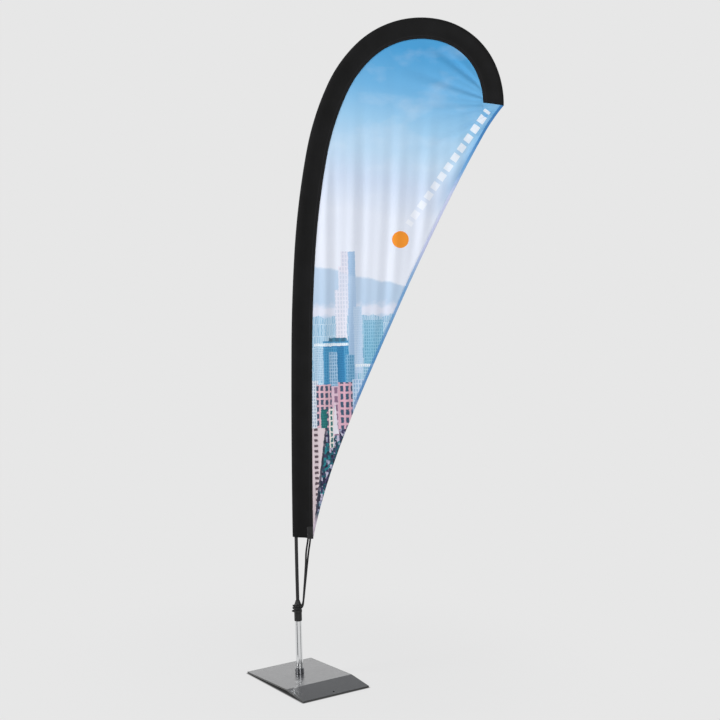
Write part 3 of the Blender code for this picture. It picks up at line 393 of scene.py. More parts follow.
def near_quarter(tree, plane, millimetres, s, t):
    """(mask, colour) of the near quarter's roofs and streets, and of each building."""
    near = add(tree, "Math", [t, ROOFTOPS], operation="LESS_THAN")
    drawn_out = add(tree, "VectorMath", [plane, (1.0, 0.7, 0.0)], operation="MULTIPLY")
    roofs = add(tree, "TexVoronoi",
                {"Vector": drawn_out, "Scale": per_millimetre(6.5)}, distance="CHEBYCHEV")
    pick = add(tree, "SeparateColor", [roofs.outputs["Color"]])
    mosaic = add(tree, "ValToRGB", [pick])
    mosaic.color_ramp.interpolation = "CONSTANT"
    stops(mosaic, [(0.0, "141C38"), (0.20, "0F5A6A"), (0.36, "B9B4CC"), (0.48, "1C7C88"),
                   (0.60, "39335A"), (0.74, "8E94B0"), (0.84, "0D3F52")])
    layers = [(near, mosaic)]
    for left, right, foot, top, wall, glass, width in BUILDINGS:
        height = 1.5 * width
        windows = add(tree, "TexBrick",
                      {"Vector": millimetres, "Color1": linear(glass), "Color2": linear(glass),
                       "Mortar": linear(wall), "Scale": 1.0, "Mortar Size": 0.28 * width,
                       "Mortar Smooth": 0.5, "Brick Width": width, "Row Height": height},
                      offset=0.0)
        layers.append((rectangle(tree, s, t, left, right, foot, top), windows))

    # a white spire
    half = add(tree, "Math", [t, -0.085, 0.0757], operation="MULTIPLY_ADD")
    from_axis = add(tree, "Math", [s, SPIRE_AXIS], operation="SUBTRACT")
    from_axis = add(tree, "Math", [from_axis], operation="ABSOLUTE")
    narrow = add(tree, "Math", [from_axis, half], operation="LESS_THAN")
    above = add(tree, "Math", [t, SPIRE_FOOT], operation="GREATER_THAN")
    spire = add(tree, "Math", [narrow, above], operation="MULTIPLY")

    # the house beside the pocket, with its column of windows, and past it a dark stripe of painted
    # shadow along a fold of the cloth
    side = add(tree, "Math", [t, 0.14, -0.008], operation="MULTIPLY_ADD")
    past = add(tree, "Math", [s, side], operation="SUBTRACT")
    inside = add(tree, "Math", [s, side], operation="LESS_THAN")
    low = add(tree, "Math", [t, HOUSE_TOP], operation="LESS_THAN")
    house = add(tree, "Math", [inside, low], operation="MULTIPLY")
    storey = add(tree, "Math", [t, per_millimetre(STOREY)], operation="MULTIPLY")
    storey = add(tree, "Math", [storey], operation="FRACT")
    open_height = add(tree, "Math", [storey, 0.5, 0.24], operation="COMPARE")
    column = add(tree, "Math", [s, WINDOW_AXIS, WINDOW_HALF], operation="COMPARE")
    window = add(tree, "Math", [open_height, column], operation="MULTIPLY")
    window = add(tree, "Math", [window, house], operation="MULTIPLY")
    # painted shadow: a dark stripe that stands for the shade of a cloth fold
    gap = add(tree, "Math", [past, FOLD_SHADOW_HALF, FOLD_SHADOW_HALF], operation="COMPARE")
    painted_fold_shadow = add(tree, "Math", [gap, low], operation="MULTIPLY")
    painted_fold_shadow = add(tree, "Math", [painted_fold_shadow, 0.8], operation="MULTIPLY")
    return layers + [(spire, linear("E2DFEA")), (house, linear("D6C7CD")),
                     (window, linear("5C4A54")), (painted_fold_shadow, linear("2C2538"))]


def disc_and_blocks(tree, flat):
    """(mask, colour) of a plain disc, the deeper sky by the tip, and a plain row of blocks."""
    split = add(tree, "SeparateXYZ", [flat])
    ds = add(tree, "Math", [split.outputs["X"], DISC[0]], operation="SUBTRACT")
    dt = add(tree, "Math", [split.outputs["Y"], DISC[1]], operation="SUBTRACT")
    distance = add(tree, "VectorMath", [flat, (*DISC, 0.0)], operation="DISTANCE").outputs["Value"]
    disc = add(tree, "Math", [distance, DISC_RADIUS], operation="LESS_THAN")

    # how far along the row a place lies from the disc, and how far off its middle line
    along = add(tree, "Math", [dt, math.sin(ROW_LEAN)], operation="MULTIPLY")
    along = add(tree, "Math", [ds, math.cos(ROW_LEAN), along], operation="MULTIPLY_ADD")
    off = add(tree, "Math", [dt, math.cos(ROW_LEAN)], operation="MULTIPLY")
    off = add(tree, "Math", [ds, -math.sin(ROW_LEAN), off], operation="MULTIPLY_ADD")

    by_edge = add(tree, "MapRange",
                  {"Value": off, "From Min": -0.035, "From Max": -0.008, "To Min": 0.85,
                   "To Max": 0.0})
    upper = add(tree, "MapRange", {"Value": along, "From Min": 0.12, "From Max": 0.42})
    deeper = add(tree, "Math", [by_edge, upper], operation="MULTIPLY")

    length = add(tree, "Math", [along, ROW_MIDDLE, ROW_HALF_LENGTH], operation="COMPARE")
    width = add(tree, "Math", [off, ROW_OFFSET, ROW_HALF_WIDTH], operation="COMPARE")
    row = add(tree, "Math", [length, width], operation="MULTIPLY")
    part = add(tree, "Math", [along, per_millimetre(BLOCK_SPACING)], operation="MULTIPLY")
    part = add(tree, "Math", [part], operation="FRACT")
    block = add(tree, "Math", [part, 0.5, 0.34], operation="COMPARE")
    row = add(tree, "Math", [row, block], operation="MULTIPLY")
    fading = add(tree, "MapRange",
                 {"Value": along, "From Min": 0.05, "From Max": 0.40, "To Min": 0.45,
                  "To Max": 0.8})
    row = add(tree, "Math", [row, fading], operation="MULTIPLY")
    return [(disc, linear("F2921E")), (deeper, linear("3F93CE")), (row, linear("F6F8FD"))]


def printed_picture(tree, flat):
    """The sky's colour, and (mask, colour) of what is printed over it, from the back."""
    # outlines waver by a few millimetres, as paint and far things do
    ragged = add(tree, "TexNoise",
                 {"Vector": flat, "Scale": per_millimetre(9), "Detail": 2.0}).outputs["Color"]
    shift = add(tree, "VectorMath", [ragged, (0.5, 0.5, 0.5)], operation="SUBTRACT")
    plane = add(tree, "VectorMath", [shift, (0.006, 0.006, 0.0), flat], operation="MULTIPLY_ADD")
    millimetres = add(tree, "VectorMath", [plane, (1 / MM, 1 / MM, 1 / MM)], operation="MULTIPLY")
    split = add(tree, "SeparateXYZ", [plane])
    s, t = split.outputs["X"], split.outputs["Y"]
    hills, far = far_city(tree, flat, millimetres, s, t)
    near = near_quarter(tree, plane, millimetres, s, t)
    # the further the city, the more it pales into the haze
    distance = add(tree, "MapRange",
                   {"Value": t, "From Min": 1.06, "From Max": 1.30, "To Min": 0.0, "To Max": 0.35})
    pale = add(tree, "Math", [distance, hills], operation="MULTIPLY")
    layers = far + near + [(pale, linear("C6D7EC"))] + disc_and_blocks(tree, flat)
    return sky(tree, flat, s, t), layers


def hem_bleed(tree, flat, share):
    """(mask, colour) of the print's bleed, a deeper colour that shows where the hem is folded."""
    height = add(tree, "SeparateXYZ", [flat]).outputs["Y"]
    span = add(tree, "MapRange", {"Value": height, "From Min": 0.45, "From Max": 1.85})
    bleed = add(tree, "ValToRGB", [span])
    stops(bleed, [(0.28, "5A5C90"), (0.33, "2E76B4"), (0.60, "5A94C8"), (0.66, "AEB6DC"),
                  (0.78, "C6CBE8"), (0.84, "66A2D8"), (0.91, "2474B8"), (1.0, "1B66A8")])
    # it starts above the near roofs, and by the corner it is the pale wall of a house
    above = add(tree, "MapRange",
                {"Value": height, "From Min": 0.84, "From Max": 0.90, "To Max": share})
    foot = add(tree, "MapRange",
               {"Value": height, "From Min": 0.49, "From Max": 0.53, "To Min": share,
                "To Max": 0.0})
    return [(above, bleed), (foot, linear("D9CBDA"))]


def printed_knit(name, bleed_share=0.0):
    """Dye-printed knitted polyester: thin, with tiny loops and a soft bloom of light."""
    material, tree, shader = new_finish(name, Roughness=0.7, IOR=1.4, Sheen_Weight=0.15,
                                        Sheen_Roughness=0.5)
    flat = add(tree, "UVMap", uv_map="cloth")
    colour, layers = printed_picture(tree, flat)
    if bleed_share:
        layers += hem_bleed(tree, flat, bleed_share)
    for mask, ink in layers:
        colour = add(tree, "Mix", {"Factor": mask, "A": colour, "B": ink}, data_type="RGBA")
    connect(tree, colour, shader.inputs["Base Color"])
    relief(tree, shader, weave(tree, flat, 1.3), 0.06 * MM, 0.35)
    return material


# ---------------------------------------------------------------- the flag's geometry
def mast_at(distance):
    """(s, t, lean) of the mast's axis, this far from the ferrule's mouth."""
    across, up, lean, left = 0.0, MOUTH, 0.0, distance
    for length, turn in MAST_ARCS:
        part = min(length, left)
        bend = math.radians(turn) / length
        across += (math.cos(lean) - math.cos(lean + bend * part)) / bend
        up += (math.sin(lean + bend * part) - math.sin(lean)) / bend
        lean += bend * part
        left -= part
        if left <= 0:
            break
    return across, up, lean


def flag_point(distance, inward, side=0.0):
    """A point beside the rod: this far up it, square to it towards the cloth, and aside."""
    across, up, lean = mast_at(distance)
    return Vector((across + inward * math.cos(lean), side, up - inward * math.sin(lean)))


def outside_at(share):
    """How far the pocket's outer edge lies outside the rod's axis."""
    return POCKET_OUTSIDE[0] + (POCKET_OUTSIDE[1] - POCKET_OUTSIDE[0]) * share


def pocket_point(share, across, side=0.0):
    """A point of the pocket: share of its length, and distance in from its outer edge."""
    part = across / POCKET_WIDTH
    start = HEM_HEIGHT + HEM_SLANT * part
    end = MAST_LENGTH - END_SLANT * part
    return flag_point(start + (end - start) * share, across - outside_at(share), side)


def eased(low, high, value):
    """0 below low, 1 above high, and smooth between."""
    x = min(1.0, max(0.0, (value - low) / (high - low)))
    return x * x * (3 - 2 * x)


def in_scene(name, data):
    """Makes an object of a mesh, a light or a camera, in the scene."""
    thing = bpy.data.objects.new(name, data)
    bpy.context.scene.collection.objects.link(thing)
    return thing


def in_flag_plane(name, mesh, finish):
    """Stands a piece that was made flat, from s, side and t, in the flag's own plane."""
    thing = in_scene(name, mesh)
    mesh.transform(FLAG)
    mesh.materials.append(finish)
    mesh.shade_smooth()
    return thing


def sheet_mesh(name, rows, coordinates, ring=False):
    """A grid of points with cloth coordinates in metres. A ring joins each row's ends."""
    mesh = bpy.data.meshes.new(name)
    shape = bmesh.new()
    layer = shape.loops.layers.uv.new("cloth")
    made = [[shape.verts.new(point) for point in row] for row in rows]
    count = len(rows[0])
    for i in range(len(rows) - 1):
        for j in range(count if ring else count - 1):
            k = j + 1
            corners = ((i, j), (i, k), (i + 1, k), (i + 1, j))
            face = shape.faces.new([made[a][b % count] for a, b in corners])
            for loop, (a, b) in zip(face.loops, corners):
                loop[layer].uv = coordinates[a][b]
    bmesh.ops.recalc_face_normals(shape, faces=shape.faces)
    shape.to_mesh(mesh)
    shape.free()
    return mesh


def close_tube(mesh, end=None):
    """Fills both open ends of a tube, or only the one that lies on these points."""
    shape = bmesh.new()
    shape.from_mesh(mesh)
    rim = [edge for edge in shape.edges if edge.is_boundary]
    if end:
        centre = sum(end, Vector()) / len(end)
        reach = max((point - centre).length for point in end) + 0.001
        rim = [edge for edge in rim if all((v.co - centre).length < reach for v in edge.verts)]
    bmesh.ops.holes_fill(shape, edges=rim)
    bmesh.ops.recalc_face_normals(shape, faces=shape.faces)
    shape.to_mesh(mesh)
    shape.free()


def thicken(thing, thickness, offset=-1.0):
    """Gives cloth its thickness: inwards, or with an offset of 0 to both sides."""
    modifier = thing.modifiers.new("thickness", "SOLIDIFY")
    modifier.thickness = thickness
    modifier.offset = offset


def sweep(name, points, radius, finish, sides=14):
    """A round cord through points, with coordinates along it and round it, and closed ends."""
    points = [Vector(point) for point in points]
    tangents = [(b - a).normalized() for a, b in zip(points[:1] + points, points[1:] + points[-1:])]
    tangents[0] = (points[1] - points[0]).normalized()
    tangents[-1] = (points[-1] - points[-2]).normalized()
    normal = tangents[0].orthogonal().normalized()
    rows, coordinates, travelled = [], [], 0.0
    for i, (point, tangent) in enumerate(zip(points, tangents)):
        if i:
            travelled += (point - points[i - 1]).length
            normal = (normal - tangent * normal.dot(tangent)).normalized()
        other = tangent.cross(normal)
        angles = [2 * math.pi * k / sides for k in range(sides)]
        rows.append([point + radius * (math.cos(a) * normal + math.sin(a) * other) for a in angles])
        coordinates.append([(travelled, k / sides) for k in range(sides + 1)])
    mesh = sheet_mesh(name, rows, coordinates, ring=True)
    close_tube(mesh)
    return in_flag_plane(name, mesh, finish)


# ---------------------------------------------------------------- the sewn pieces
POCKET_ROWS, HEM_ROWS = 190, 420
PANEL_ROWS, PANEL_COLUMNS = 260, 72
BULGE = 0.0078  # half thickness where the rod lies
SEAM = 0.0016  # half thickness at the inner edge


def pocket_half(across, share):
    """Half thickness of the pocket: round over the rod, then falling flat to the seam."""
    outside = outside_at(share)
    inward = across - outside
    if inward < 0:
        full = BULGE * math.sqrt(max(0.0, 1 - (inward / outside) ** 2))
    else:
        full = SEAM + (BULGE - SEAM) * (1 - eased(0.001, 0.030, inward))
    from_tip = (1 - share) * (MAST_LENGTH - HEM_HEIGHT)
    pressed = 1 - eased(0.004, 0.030, from_tip)
    return full + (min(full, SEAM) - full) * pressed


def pocket_crease(distance, across, front):
    """Small creases where the cloth goes round the bend, deeper towards its inner edge."""
    bend = eased(1.35, 1.75, distance) * (1 - eased(2.38, 2.46, distance))
    reach = eased(0.012, 0.045, across) * (1 - 0.6 * eased(0.055, 0.066, across))
    ripple = math.sin(distance * 2 * math.pi / 0.043 + 1.7 * math.sin(distance * 23))
    ripple += 0.6 * math.sin(distance * 2 * math.pi / 0.071 + (1.0 if front else 2.6))
    slack = 0.00035 * math.sin(distance * 2 * math.pi / 0.21 + across * 60)
    return 0.0006 * bend * reach * ripple + slack * reach


def make_pocket(finish):
    """The black pocket, a cloth tube round the mast, open at its hem and sewn shut at its tip."""
    steps = [0, 0.0012, 0.0035, 0.007, 0.0115, 0.017, 0.023, 0.030, 0.038, 0.046, 0.053,
             0.059, 0.0635, 0.066, POCKET_WIDTH]
    ring = [(a, 1) for a in steps] + [(a, -1) for a in steps[-1:0:-1]]
    rows, coordinates = [], []
    for i in range(POCKET_ROWS + 1):
        share = i / POCKET_ROWS
        distance = HEM_HEIGHT + share * (MAST_LENGTH - HEM_HEIGHT)
        row, places = [], []
        from_hem = distance - HEM_HEIGHT
        turned_in = 0.0006 * (1 - eased(0.013, 0.016, from_hem))
        for across, face in ring:
            half = pocket_half(across, share)
            if 0 < across < POCKET_WIDTH:
                half += turned_in + pocket_crease(distance, across, face > 0)
            elif across == POCKET_WIDTH:
                half = 0.0008
            row.append(pocket_point(share, across, -face * half))
            places.append((from_hem, across))
        rows.append(row)
        coordinates.append(places + [places[0]])
    mesh = sheet_mesh("pocket", rows, coordinates, ring=True)
    close_tube(mesh, end=rows[-1])
    pocket = in_flag_plane("pocket", mesh, finish)
    thicken(pocket, 0.0007)
    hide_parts("pole_sleeve")
    return pocket


def trailing_point(share, offset=0.0):
    """A point of the hollow free edge, from the pocket's hem corner up to its outer end."""
    low, high = pocket_point(0, POCKET_WIDTH), pocket_point(1, 0)
    chord = high - low

    def on_edge(share):
        """The same edge before the offset: it keeps near its straight line at both ends."""
        off_middle = abs(2 * share - 1)
        if share < 0.5:
            lost = off_middle ** 3.5
        else:
            lost = 0.7 * off_middle ** 2 + 0.3 * off_middle ** 12
        inward = Vector((-chord.z, 0, chord.x)).normalized()
        return low + chord * share + inward * TRAILING_HOLLOW * (1 - lost)

    run = on_edge(share + 0.002) - on_edge(share - 0.002)
    return on_edge(share) + Vector((-run.z, 0, run.x)).normalized() * offset


def cloth_side(s, t, from_seam, from_free):
    """How far the pulled cloth stands out of its plane: long folds up it, and a fan at its end."""
    low, high = trailing_point(0), trailing_point(1)
    held = eased(0.0, 0.045, from_seam)
    fan = (s - 0.03) / (0.72 + 0.28 * (t - 0.45) / 1.2)
    lengthwise = math.sin(fan * 2 * math.pi / 0.083 + 0.55)
    lengthwise += 0.55 * math.sin(fan * 2 * math.pi / 0.047 + 1.1 * math.sin(3.1 * t) + 2.0)
    lengthwise += 0.35 * math.sin((fan + 0.05 * t) * 2 * math.pi / 0.151 + 4.0)
    grow = eased(0.50, 0.95, t) * (1 - 0.9 * eased(1.50, 1.86, t))
    side = 0.0025 * lengthwise * held * grow * (0.35 + 0.65 * eased(0, 0.05, from_free))
    # folds that fan out from the end of the pocket
    reach = math.hypot(s - high.x, t - high.z)
    angle = math.atan2(high.x - s, high.z - t)
    spread = eased(0.015, 0.07, reach) * (1 - eased(0.16, 0.42, reach))
    side += 0.0020 * math.sin(angle * 21 + 0.8) * spread * held
    side += 0.0012 * math.sin(angle * 37 + 2.1) * spread * held
    # and from the corner that the cord pulls on
    reach = math.hypot(s - low.x, t - low.z)
    angle = math.atan2(s - low.x, t - low.z)
    spread = eased(0.01, 0.05, reach) * (1 - eased(0.25, 0.6, reach))
    side += 0.0010 * math.sin(angle * 44) * spread * min(held, eased(0.0, 0.02, from_free))
    return side + 0.004 * held * math.sin(math.pi * eased(0.45, 2.05, t))


def make_panel(finish):
    """The printed cloth between the pocket's seam and the hem of the free edge."""
    rows, coordinates, outline = [], [], []
    for i in range(PANEL_ROWS + 1):
        seam, free = panel_ends(i / PANEL_ROWS)
        row, places = [], []
        width = (free - seam).length
        for j in range(PANEL_COLUMNS + 1):
            part = j / PANEL_COLUMNS
            point = seam.lerp(free, part)
            side = cloth_side(point.x, point.z, part * width, (1 - part) * width)
            row.append(Vector((point.x, -side, point.z)))
            places.append((point.x, point.z))
        rows.append(row)
        coordinates.append(places)
        outline.append((seam, free))
    mesh = sheet_mesh("printed_panel", rows, coordinates)
    panel = in_flag_plane("printed_panel", mesh, finish)
    thicken(panel, 0.0008, 0.0)
    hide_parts("flag_panel")
    return panel, outline


def panel_ends(share):
    """Both ends of one row of the panel: up the pocket's seam, and then across its end."""
    seam_rows, corner = 0.93, 0.915  # the rows on the seam, and how far up the free edge they go
    if share < seam_rows:
        part = share / seam_rows
        part = 0.7 * part + 0.3 * (1 - math.cos(math.pi * part)) / 2
        seam = pocket_point(part * 0.9985, POCKET_WIDTH - 0.003)
        free = 0.004 + (corner - 0.004) * part
    else:
        part = (share - seam_rows) / (1 - seam_rows)
        seam = pocket_point(0.9985, (POCKET_WIDTH - 0.003) * (1 - part) + 0.002 * part)
        free = corner + (0.994 - corner) * part
    return seam, trailing_point(free, HEM_STRIP - 0.001)


def make_hem(finish):
    """The free edge's hem, folded twice and stitched, a little gathered by its thread."""
    steps = [0.0, 0.0004, 0.0015, 0.0045, 0.0075, 0.0086, HEM_STRIP]
    thick = [0.0, 0.0009, 0.0011, 0.0009, 0.0011, 0.0009, 0.0002]
    ring = list(zip(steps, thick))
    ring += [(offset, -half) for offset, half in ring[-2:0:-1]]
    rows, coordinates = [], []
    for i in range(HEM_ROWS + 1):
        share = i / HEM_ROWS
        row, places = [], []
        for offset, half in ring:
            point = trailing_point(share, offset)
            gather = 0.0003 * math.sin(i * 1.9) * math.sin(math.pi * share)
            inner = trailing_point(share, HEM_STRIP)
            seam_side = cloth_side(inner.x, inner.z, 0.05, 0.0)
            side = seam_side * eased(0.0, 0.05, share) * (1 - eased(0.95, 1.0, share))
            narrow = eased(-0.02, 0.02, share) * eased(-0.02, 0.02, 1 - share)
            row.append(Vector((point.x, -(side + gather) - half * narrow, point.z)))
            places.append((point.x, point.z))
        rows.append(row)
        coordinates.append(places + [places[0]])
    mesh = sheet_mesh("free_edge_hem", rows, coordinates, ring=True)
    close_tube(mesh)
    hem = in_flag_plane("free_edge_hem", mesh, finish)
    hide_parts("trailing_hem")
    return hem


def make_tab(finish):
    """Webbing folded up round the pocket's inner corner, and sewn through it."""
    corner = pocket_point(0, POCKET_WIDTH)
    width, height = TAB_SIZE
    gap = 0.0029  # half the space between the two plies
    foot = corner.z - 0.0009
    path = [(gap, foot + height - 0.001 * k) for k in range(0, 38, 2)]
    path += [(gap * math.cos(a), foot + gap - gap * math.sin(a))
             for a in (math.radians(15 * k) for k in range(1, 12))]
    path += [(-gap, foot + 0.001 * k + 0.004) for k in range(0, 36, 2)] + [(-gap, foot + height)]
    rows, coordinates, travelled = [], [], 0.0
    for i, (side, up) in enumerate(path):
        if i:
            travelled += math.hypot(side - path[i - 1][0], up - path[i - 1][1])
        row, places = [], []
        for j in range(11):
            part = j / 10
            curl = 0.0003 * math.cos(2 * math.pi * part) * (1 if side > 0 else -1)
            row.append(Vector((corner.x - width + part * width, side + curl, up)))
            places.append((part * width, travelled))
        rows.append(row)
        coordinates.append(places)
    mesh = sheet_mesh("corner_webbing", rows, coordinates)
    tab = in_flag_plane("corner_webbing", mesh, finish)
    thicken(tab, 0.0012, 0.0)
    edges = tab.modifiers.new("edges", "BEVEL")
    edges.width = 0.0003
    edges.segments = 2
    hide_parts("corner_tab")
    return tab


def smooth_route(points, spacing):
    """Evenly spaced points on a smooth curve through the route's own points."""
    points = [Vector(point) for point in points]
    padded = [2 * points[0] - points[1], *points, 2 * points[-1] - points[-2]]
    fine = []
    for a, b, c, d in zip(padded, padded[1:], padded[2:], padded[3:]):
        for i in range(12):
            x = i / 12
            fine.append(0.5 * (2 * b + (c - a) * x + (2 * a - 5 * b + 4 * c - d) * x ** 2
                               + (3 * b - a - 3 * c + d) * x ** 3))
    fine.append(points[-1])
    lengths = np.cumsum([0.0] + [(q - p).length for p, q in zip(fine, fine[1:])])
    count = max(2, round(lengths[-1] / spacing))
    wanted = np.linspace(0, lengths[-1], count + 1)
    columns = [np.interp(wanted, lengths, [point[k] for point in fine]) for k in range(3)]
    return [Vector(point) for point in zip(*columns)]


def make_cord(finish):
    """One elastic cord: down from its knot, round the ferrule's neck and up again."""
    corner = pocket_point(0, POCKET_WIDTH)
    knot = Vector((corner.x - 0.0135, 0.0079, corner.z + 0.0110))
    foot = knot.z - 0.0048
    radius, height = 0.0149, 0.2184
    down = [
        (knot.x - 0.0034, knot.y, foot), (knot.x - 0.0040, knot.y - 0.0004, foot - 0.014),
        (0.0325, 0.0072, 0.400), (0.0296, 0.0028, 0.360), (0.0255, -0.0010, 0.315),
        (0.0216, -0.0040, 0.275), (0.0188, -0.0057, 0.246), (0.0176, -0.0068, 0.234),
        (0.0150, -0.0088, 0.2250), (0.0095, -0.0115, height + 0.0016),
    ]
    turns = [math.radians(angle) for angle in range(-85, -276, -10)]
    wrap = [(radius * math.cos(a), radius * math.sin(a), height) for a in turns]
    up = [
        (0.0095, 0.0115, height + 0.0016), (0.0150, 0.0088, 0.2250), (0.0178, 0.0074, 0.234),
        (0.0203, 0.0072, 0.246), (0.0240, 0.0078, 0.275), (0.0292, 0.0084, 0.315),
        (0.0350, 0.0090, 0.360), (0.0405, 0.0096, 0.400),
        (knot.x + 0.0036, knot.y - 0.0002, foot - 0.014), (knot.x + 0.0034, knot.y, foot),
    ]
    path = smooth_route(down + wrap + up, 0.004)
    cord = sweep("elastic_cord", path, CORD_DIAMETER / 2, finish)
    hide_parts("tension_cord")
    length = sum((b - a).length for a, b in zip(path, path[1:]))

    # the tied ends: a few tight turns round each other behind the eyelet
    coil = []
    steps = 45
    for k in range(steps + 1):
        angle = k * math.radians(24)
        coil.append((knot.x - 0.0042 + 0.0084 * k / steps, knot.y + 0.0023 * math.sin(angle),
                     knot.z + 0.0024 * math.cos(angle)))
    tied = sweep("tied_ends", coil, 0.0021, finish, sides=12)
    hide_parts("cord_knot")
    return cord, tied, path, length


# ---------------------------------------------------------------- camera and studio
def place_camera():
    """A long lens at standing eye level, a little right of the mast and looking down."""
    heading, look_down = math.radians(34.9), math.radians(7.39)
    distance, aside, eye_level = 4.750, 0.197, 1.66
    right = Vector((math.cos(heading), -math.sin(heading), 0))
    ahead = Vector((math.sin(heading), math.cos(heading), 0))
    camera = in_scene("camera", bpy.data.cameras.new("camera"))
    spot = FOOT + aside * right - distance * ahead
    camera.location = (spot.x, spot.y, eye_level)
    camera.rotation_euler = (math.pi / 2 - look_down, 0, -heading)
    camera.data.lens = 75.25
    bpy.context.scene.camera = camera
    return right, ahead


def softbox(name, place, target, size, power):
    """A rectangular lamp that looks at a place, with its size in metres and power in watts."""
    light = bpy.data.lights.new(name, "AREA")
    light.shape = "RECTANGLE"
    light.size, light.size_y = size
    light.energy = power
    thing = in_scene(name, light)
    thing.location = place
    thing.rotation_euler = (target - place).to_track_quat("-Z", "Y").to_euler()


def dark_return(name, bearing, spread, colour, right, ahead):
    """A dark strip on the floor, out from the mast. Only bright metal shows it, as a line."""
    corners = []
    near, far = 0.26, 2.4
    for reach, side in ((near, -1), (near, 1), (far, 1), (far, -1)):
        angle = math.radians(bearing + side * spread)
        corners.append(FOOT + reach * (math.sin(angle) * right - math.cos(angle) * ahead))
    mesh = bpy.data.meshes.new(name)
    shape = bmesh.new()
    shape.faces.new([shape.verts.new(corner + Vector((0, 0, 0.0004))) for corner in corners])
    shape.to_mesh(mesh)
    shape.free()
    strip = in_scene(name, mesh)
    strip.visible_camera = False
    strip.visible_shadow = False
    strip.visible_diffuse = False
    material, _, _ = new_finish(name, Roughness=0.9, Base_Color=linear(colour),
                                Specular_IOR_Level=0.0)
    mesh.materials.append(material)


def light_room(ahead):
    """An even white room, whose bright wall stands behind the flag and leaves this side dim."""
    world = bpy.data.worlds.new("white_room")
    bpy.context.scene.world = world
    world.use_nodes = True
    tree = world.node_tree
    tree.nodes.clear()
    towards = add(tree, "TexCoord").outputs["Generated"]
    height = add(tree, "SeparateXYZ", [towards]).outputs["Z"]
    wall = add(tree, "ValToRGB", [height])
    stops(wall, [(0.0, "E9E9E9"), (0.24, "FFFFFF"), (0.36, "D2D3D5"), (0.48, "7C7E81"),
                 (0.75, "8A8C8E")])
    depth = add(tree, "VectorMath", [towards, tuple(ahead)],
                operation="DOT_PRODUCT").outputs["Value"]
    dim = add(tree, "MapRange",
              {"Value": depth, "From Min": -0.25, "From Max": 0.35, "To Min": 0.72, "To Max": 0.0})
    room = add(tree, "Mix", {"Factor": dim, "A": wall, "B": linear("4A4B4D")}, data_type="RGBA")
    rays = add(tree, "LightPath").outputs
    strength = add(tree, "Math", [rays["Is Diffuse Ray"], -0.38, 1.28], operation="MULTIPLY_ADD")
    lit = add(tree, "Background", {"Color": room, "Strength": strength})
    backdrop = add(tree, "Background", {"Color": linear("E7E7E7"), "Strength": 1.0})
    mixed = add(tree, "MixShader", [rays["Is Camera Ray"], lit, backdrop])
    add(tree, "OutputWorld", {"Surface": mixed})


def lay_floor():
    """A floor that glows as the room does, with a faint shadow, and a black one by the plate."""
    mesh = bpy.data.meshes.new("floor")
    shape = bmesh.new()
    bmesh.ops.create_grid(shape, x_segments=1, y_segments=1, size=60)
    shape.to_mesh(mesh)
    shape.free()
    floor = in_scene("floor", mesh)
    material, tree, shader = new_finish("pale_floor", Roughness=0.9, Specular_IOR_Level=0.0,
                                        Emission_Strength=1.0)
    place = add(tree, "TexCoord").outputs["Object"]
    away = add(tree, "VectorMath", [place, tuple(FOOT)], operation="DISTANCE").outputs["Value"]
    far = add(tree, "MapRange", {"Value": away, "From Min": 0.25, "From Max": 1.1},
              interpolation_type="SMOOTHSTEP")
    tint = add(tree, "Mix",
               {"Factor": far, "A": linear("5F5F5F"), "B": linear("000000")}, data_type="RGBA")
    connect(tree, tint, shader.inputs["Base Color"])
    glow = add(tree, "Mix",
               {"Factor": far, "A": linear("DADADA"), "B": linear("E7E7E7")}, data_type="RGBA")

    low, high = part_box("base_plate")
    spot = add(tree, "SeparateXYZ", [place])
    under = 1.0
    for axis in (0, 1):
        middle, half = (low[axis] + high[axis]) / 2, (high[axis] - low[axis]) / 2
        off = add(tree, "Math", [spot.outputs[axis], middle], operation="SUBTRACT")
        off = add(tree, "Math", [off], operation="ABSOLUTE")
        inside = add(tree, "MapRange",
                     {"Value": off, "From Min": half - 0.001, "From Max": half + 0.006,
                      "To Min": 1.0, "To Max": 0.0})
        under = add(tree, "Math", [inside, under], operation="MULTIPLY")
    glow = add(tree, "Mix", {"Factor": under, "A": glow, "B": linear("000000")}, data_type="RGBA")
    connect(tree, glow, shader.inputs["Emission Color"])
    mesh.materials.append(material)


def build_studio(right, ahead):
    """The room and its floor, with a soft key from the left and dark returns by the mast."""
    bpy.context.scene.view_settings.view_transform = "Standard"
    light_room(ahead)
    lay_floor()
    middle = FOOT + Vector((0, 0, 1.1))
    softbox("key", FOOT - 3.3 * right - 1.1 * ahead + Vector((0, 0, 2.3)), middle, (1.0, 2.2), 88)
    softbox("fill", FOOT + 1.2 * right - 3.6 * ahead + Vector((0, 0, 1.9)), middle, (1.8, 2.2), 60)
    softbox("top", FOOT + Vector((0.3, 0.4, 4.2)), middle, (2.4, 2.4), 20)
    dark_return("left_return", -40, 16, "8A8B8D", right, ahead)
    dark_return("right_return", 64, 7, "4A4A4A", right, ahead)


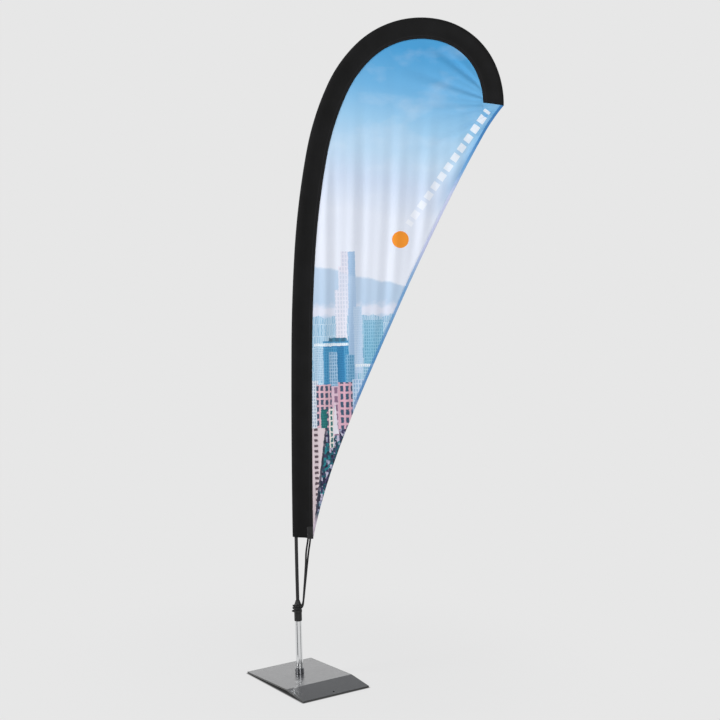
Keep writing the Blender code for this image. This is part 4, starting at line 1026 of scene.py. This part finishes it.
# ---------------------------------------------------------------- everything together
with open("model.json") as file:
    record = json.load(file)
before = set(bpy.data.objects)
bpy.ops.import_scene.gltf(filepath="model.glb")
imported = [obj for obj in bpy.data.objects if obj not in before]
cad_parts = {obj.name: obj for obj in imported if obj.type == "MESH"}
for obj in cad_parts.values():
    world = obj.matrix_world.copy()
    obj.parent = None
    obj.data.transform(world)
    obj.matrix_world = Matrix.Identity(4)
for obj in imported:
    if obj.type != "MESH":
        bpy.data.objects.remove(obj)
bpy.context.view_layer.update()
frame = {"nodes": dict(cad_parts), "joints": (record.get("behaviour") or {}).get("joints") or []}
spin = next(joint for joint in frame["joints"] if joint["name"] == "flag_spin")
FOOT = Vector(spin["pos_m"])
TILT = math.atan2(spin["axis"][1], spin["axis"][2])
FLAG = (Matrix.Translation(FOOT) @ Matrix.Rotation(-TILT, 4, "X")
        @ Matrix.Rotation(FLAG_HEADING, 4, "Z"))
FOOT = Vector((FOOT.x, FOOT.y, 0.0))

place_right, place_ahead = place_camera()

chrome = plated_steel("chromed_steel", "E4E5E6")
# the collar is chrome as well: its base colour is darkened to paint the dark reflection of the
# plate in it
chrome_darkened_for_reflection = plated_steel("chrome_with_painted_dark_reflection", "8C8D90")
pin_steel = turned_steel("turned_steel", "B4B6B8", 0.3)
race_steel = turned_steel("ground_bearing_steel", "C4C6C8", 0.16)
cage_brass = turned_steel("pressed_brass", "B99A5E", 0.3)
screw_steel = turned_steel("blackened_steel", "5A5B5D", 0.4)
tube_alloy = turned_steel("drawn_aluminium", "A9ABAD", 0.35)
nylon = moulded_nylon("moulded_nylon", "191919")
fibre = pultruded_glass_fibre()
black_rubber = rubber()
eyelet_metal = turned_steel("blackened_brass", "39393A", 0.32)
coat = powder_coated_steel()

FINISHES = {
    coat: ["base_plate"],
    chrome: ["mast_tube"],
    chrome_darkened_for_reflection: ["rotator_collar"],
    pin_steel: ["core_pin", "spacer_tube", "nut_washer", "lock_nut", "spindle_barrel"],
    race_steel: ["lower_bearing_inner", "lower_bearing_outer", "upper_bearing_inner",
                 "upper_bearing_outer"],
    cage_brass: ["lower_bearing_cage", "upper_bearing_cage"],
    screw_steel: ["base_screw"],
    nylon: ["mast_ferrule", "hook_ring", "spindle_cap"],
    fibre: ["mast_rod_lower", "mast_rod_middle", "mast_rod_tip"],
    tube_alloy: ["rod_joint_lower", "rod_joint_upper"],
    black_rubber: ["tip_cap", "foot_pad_1", "foot_pad_2", "foot_pad_3", "foot_pad_4"],
    eyelet_metal: ["eyelet"],
}
for finish, nodes in FINISHES.items():
    for node in nodes:
        for holder in frame["nodes"][node].material_slots:
            holder.material = finish

elastic = braided_elastic()
cord, tied, cord_path, cord_length = make_cord(elastic)
pocket = make_pocket(black_pocket_cloth())
panel, outline = make_panel(printed_knit("printed_knit"))
hem = make_hem(printed_knit("printed_hem", bleed_share=0.8))
tab = make_tab(webbing())
for piece in (cord, tied, pocket, panel, hem, tab):
    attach(piece, "mast")

build_studio(place_right, place_ahead)
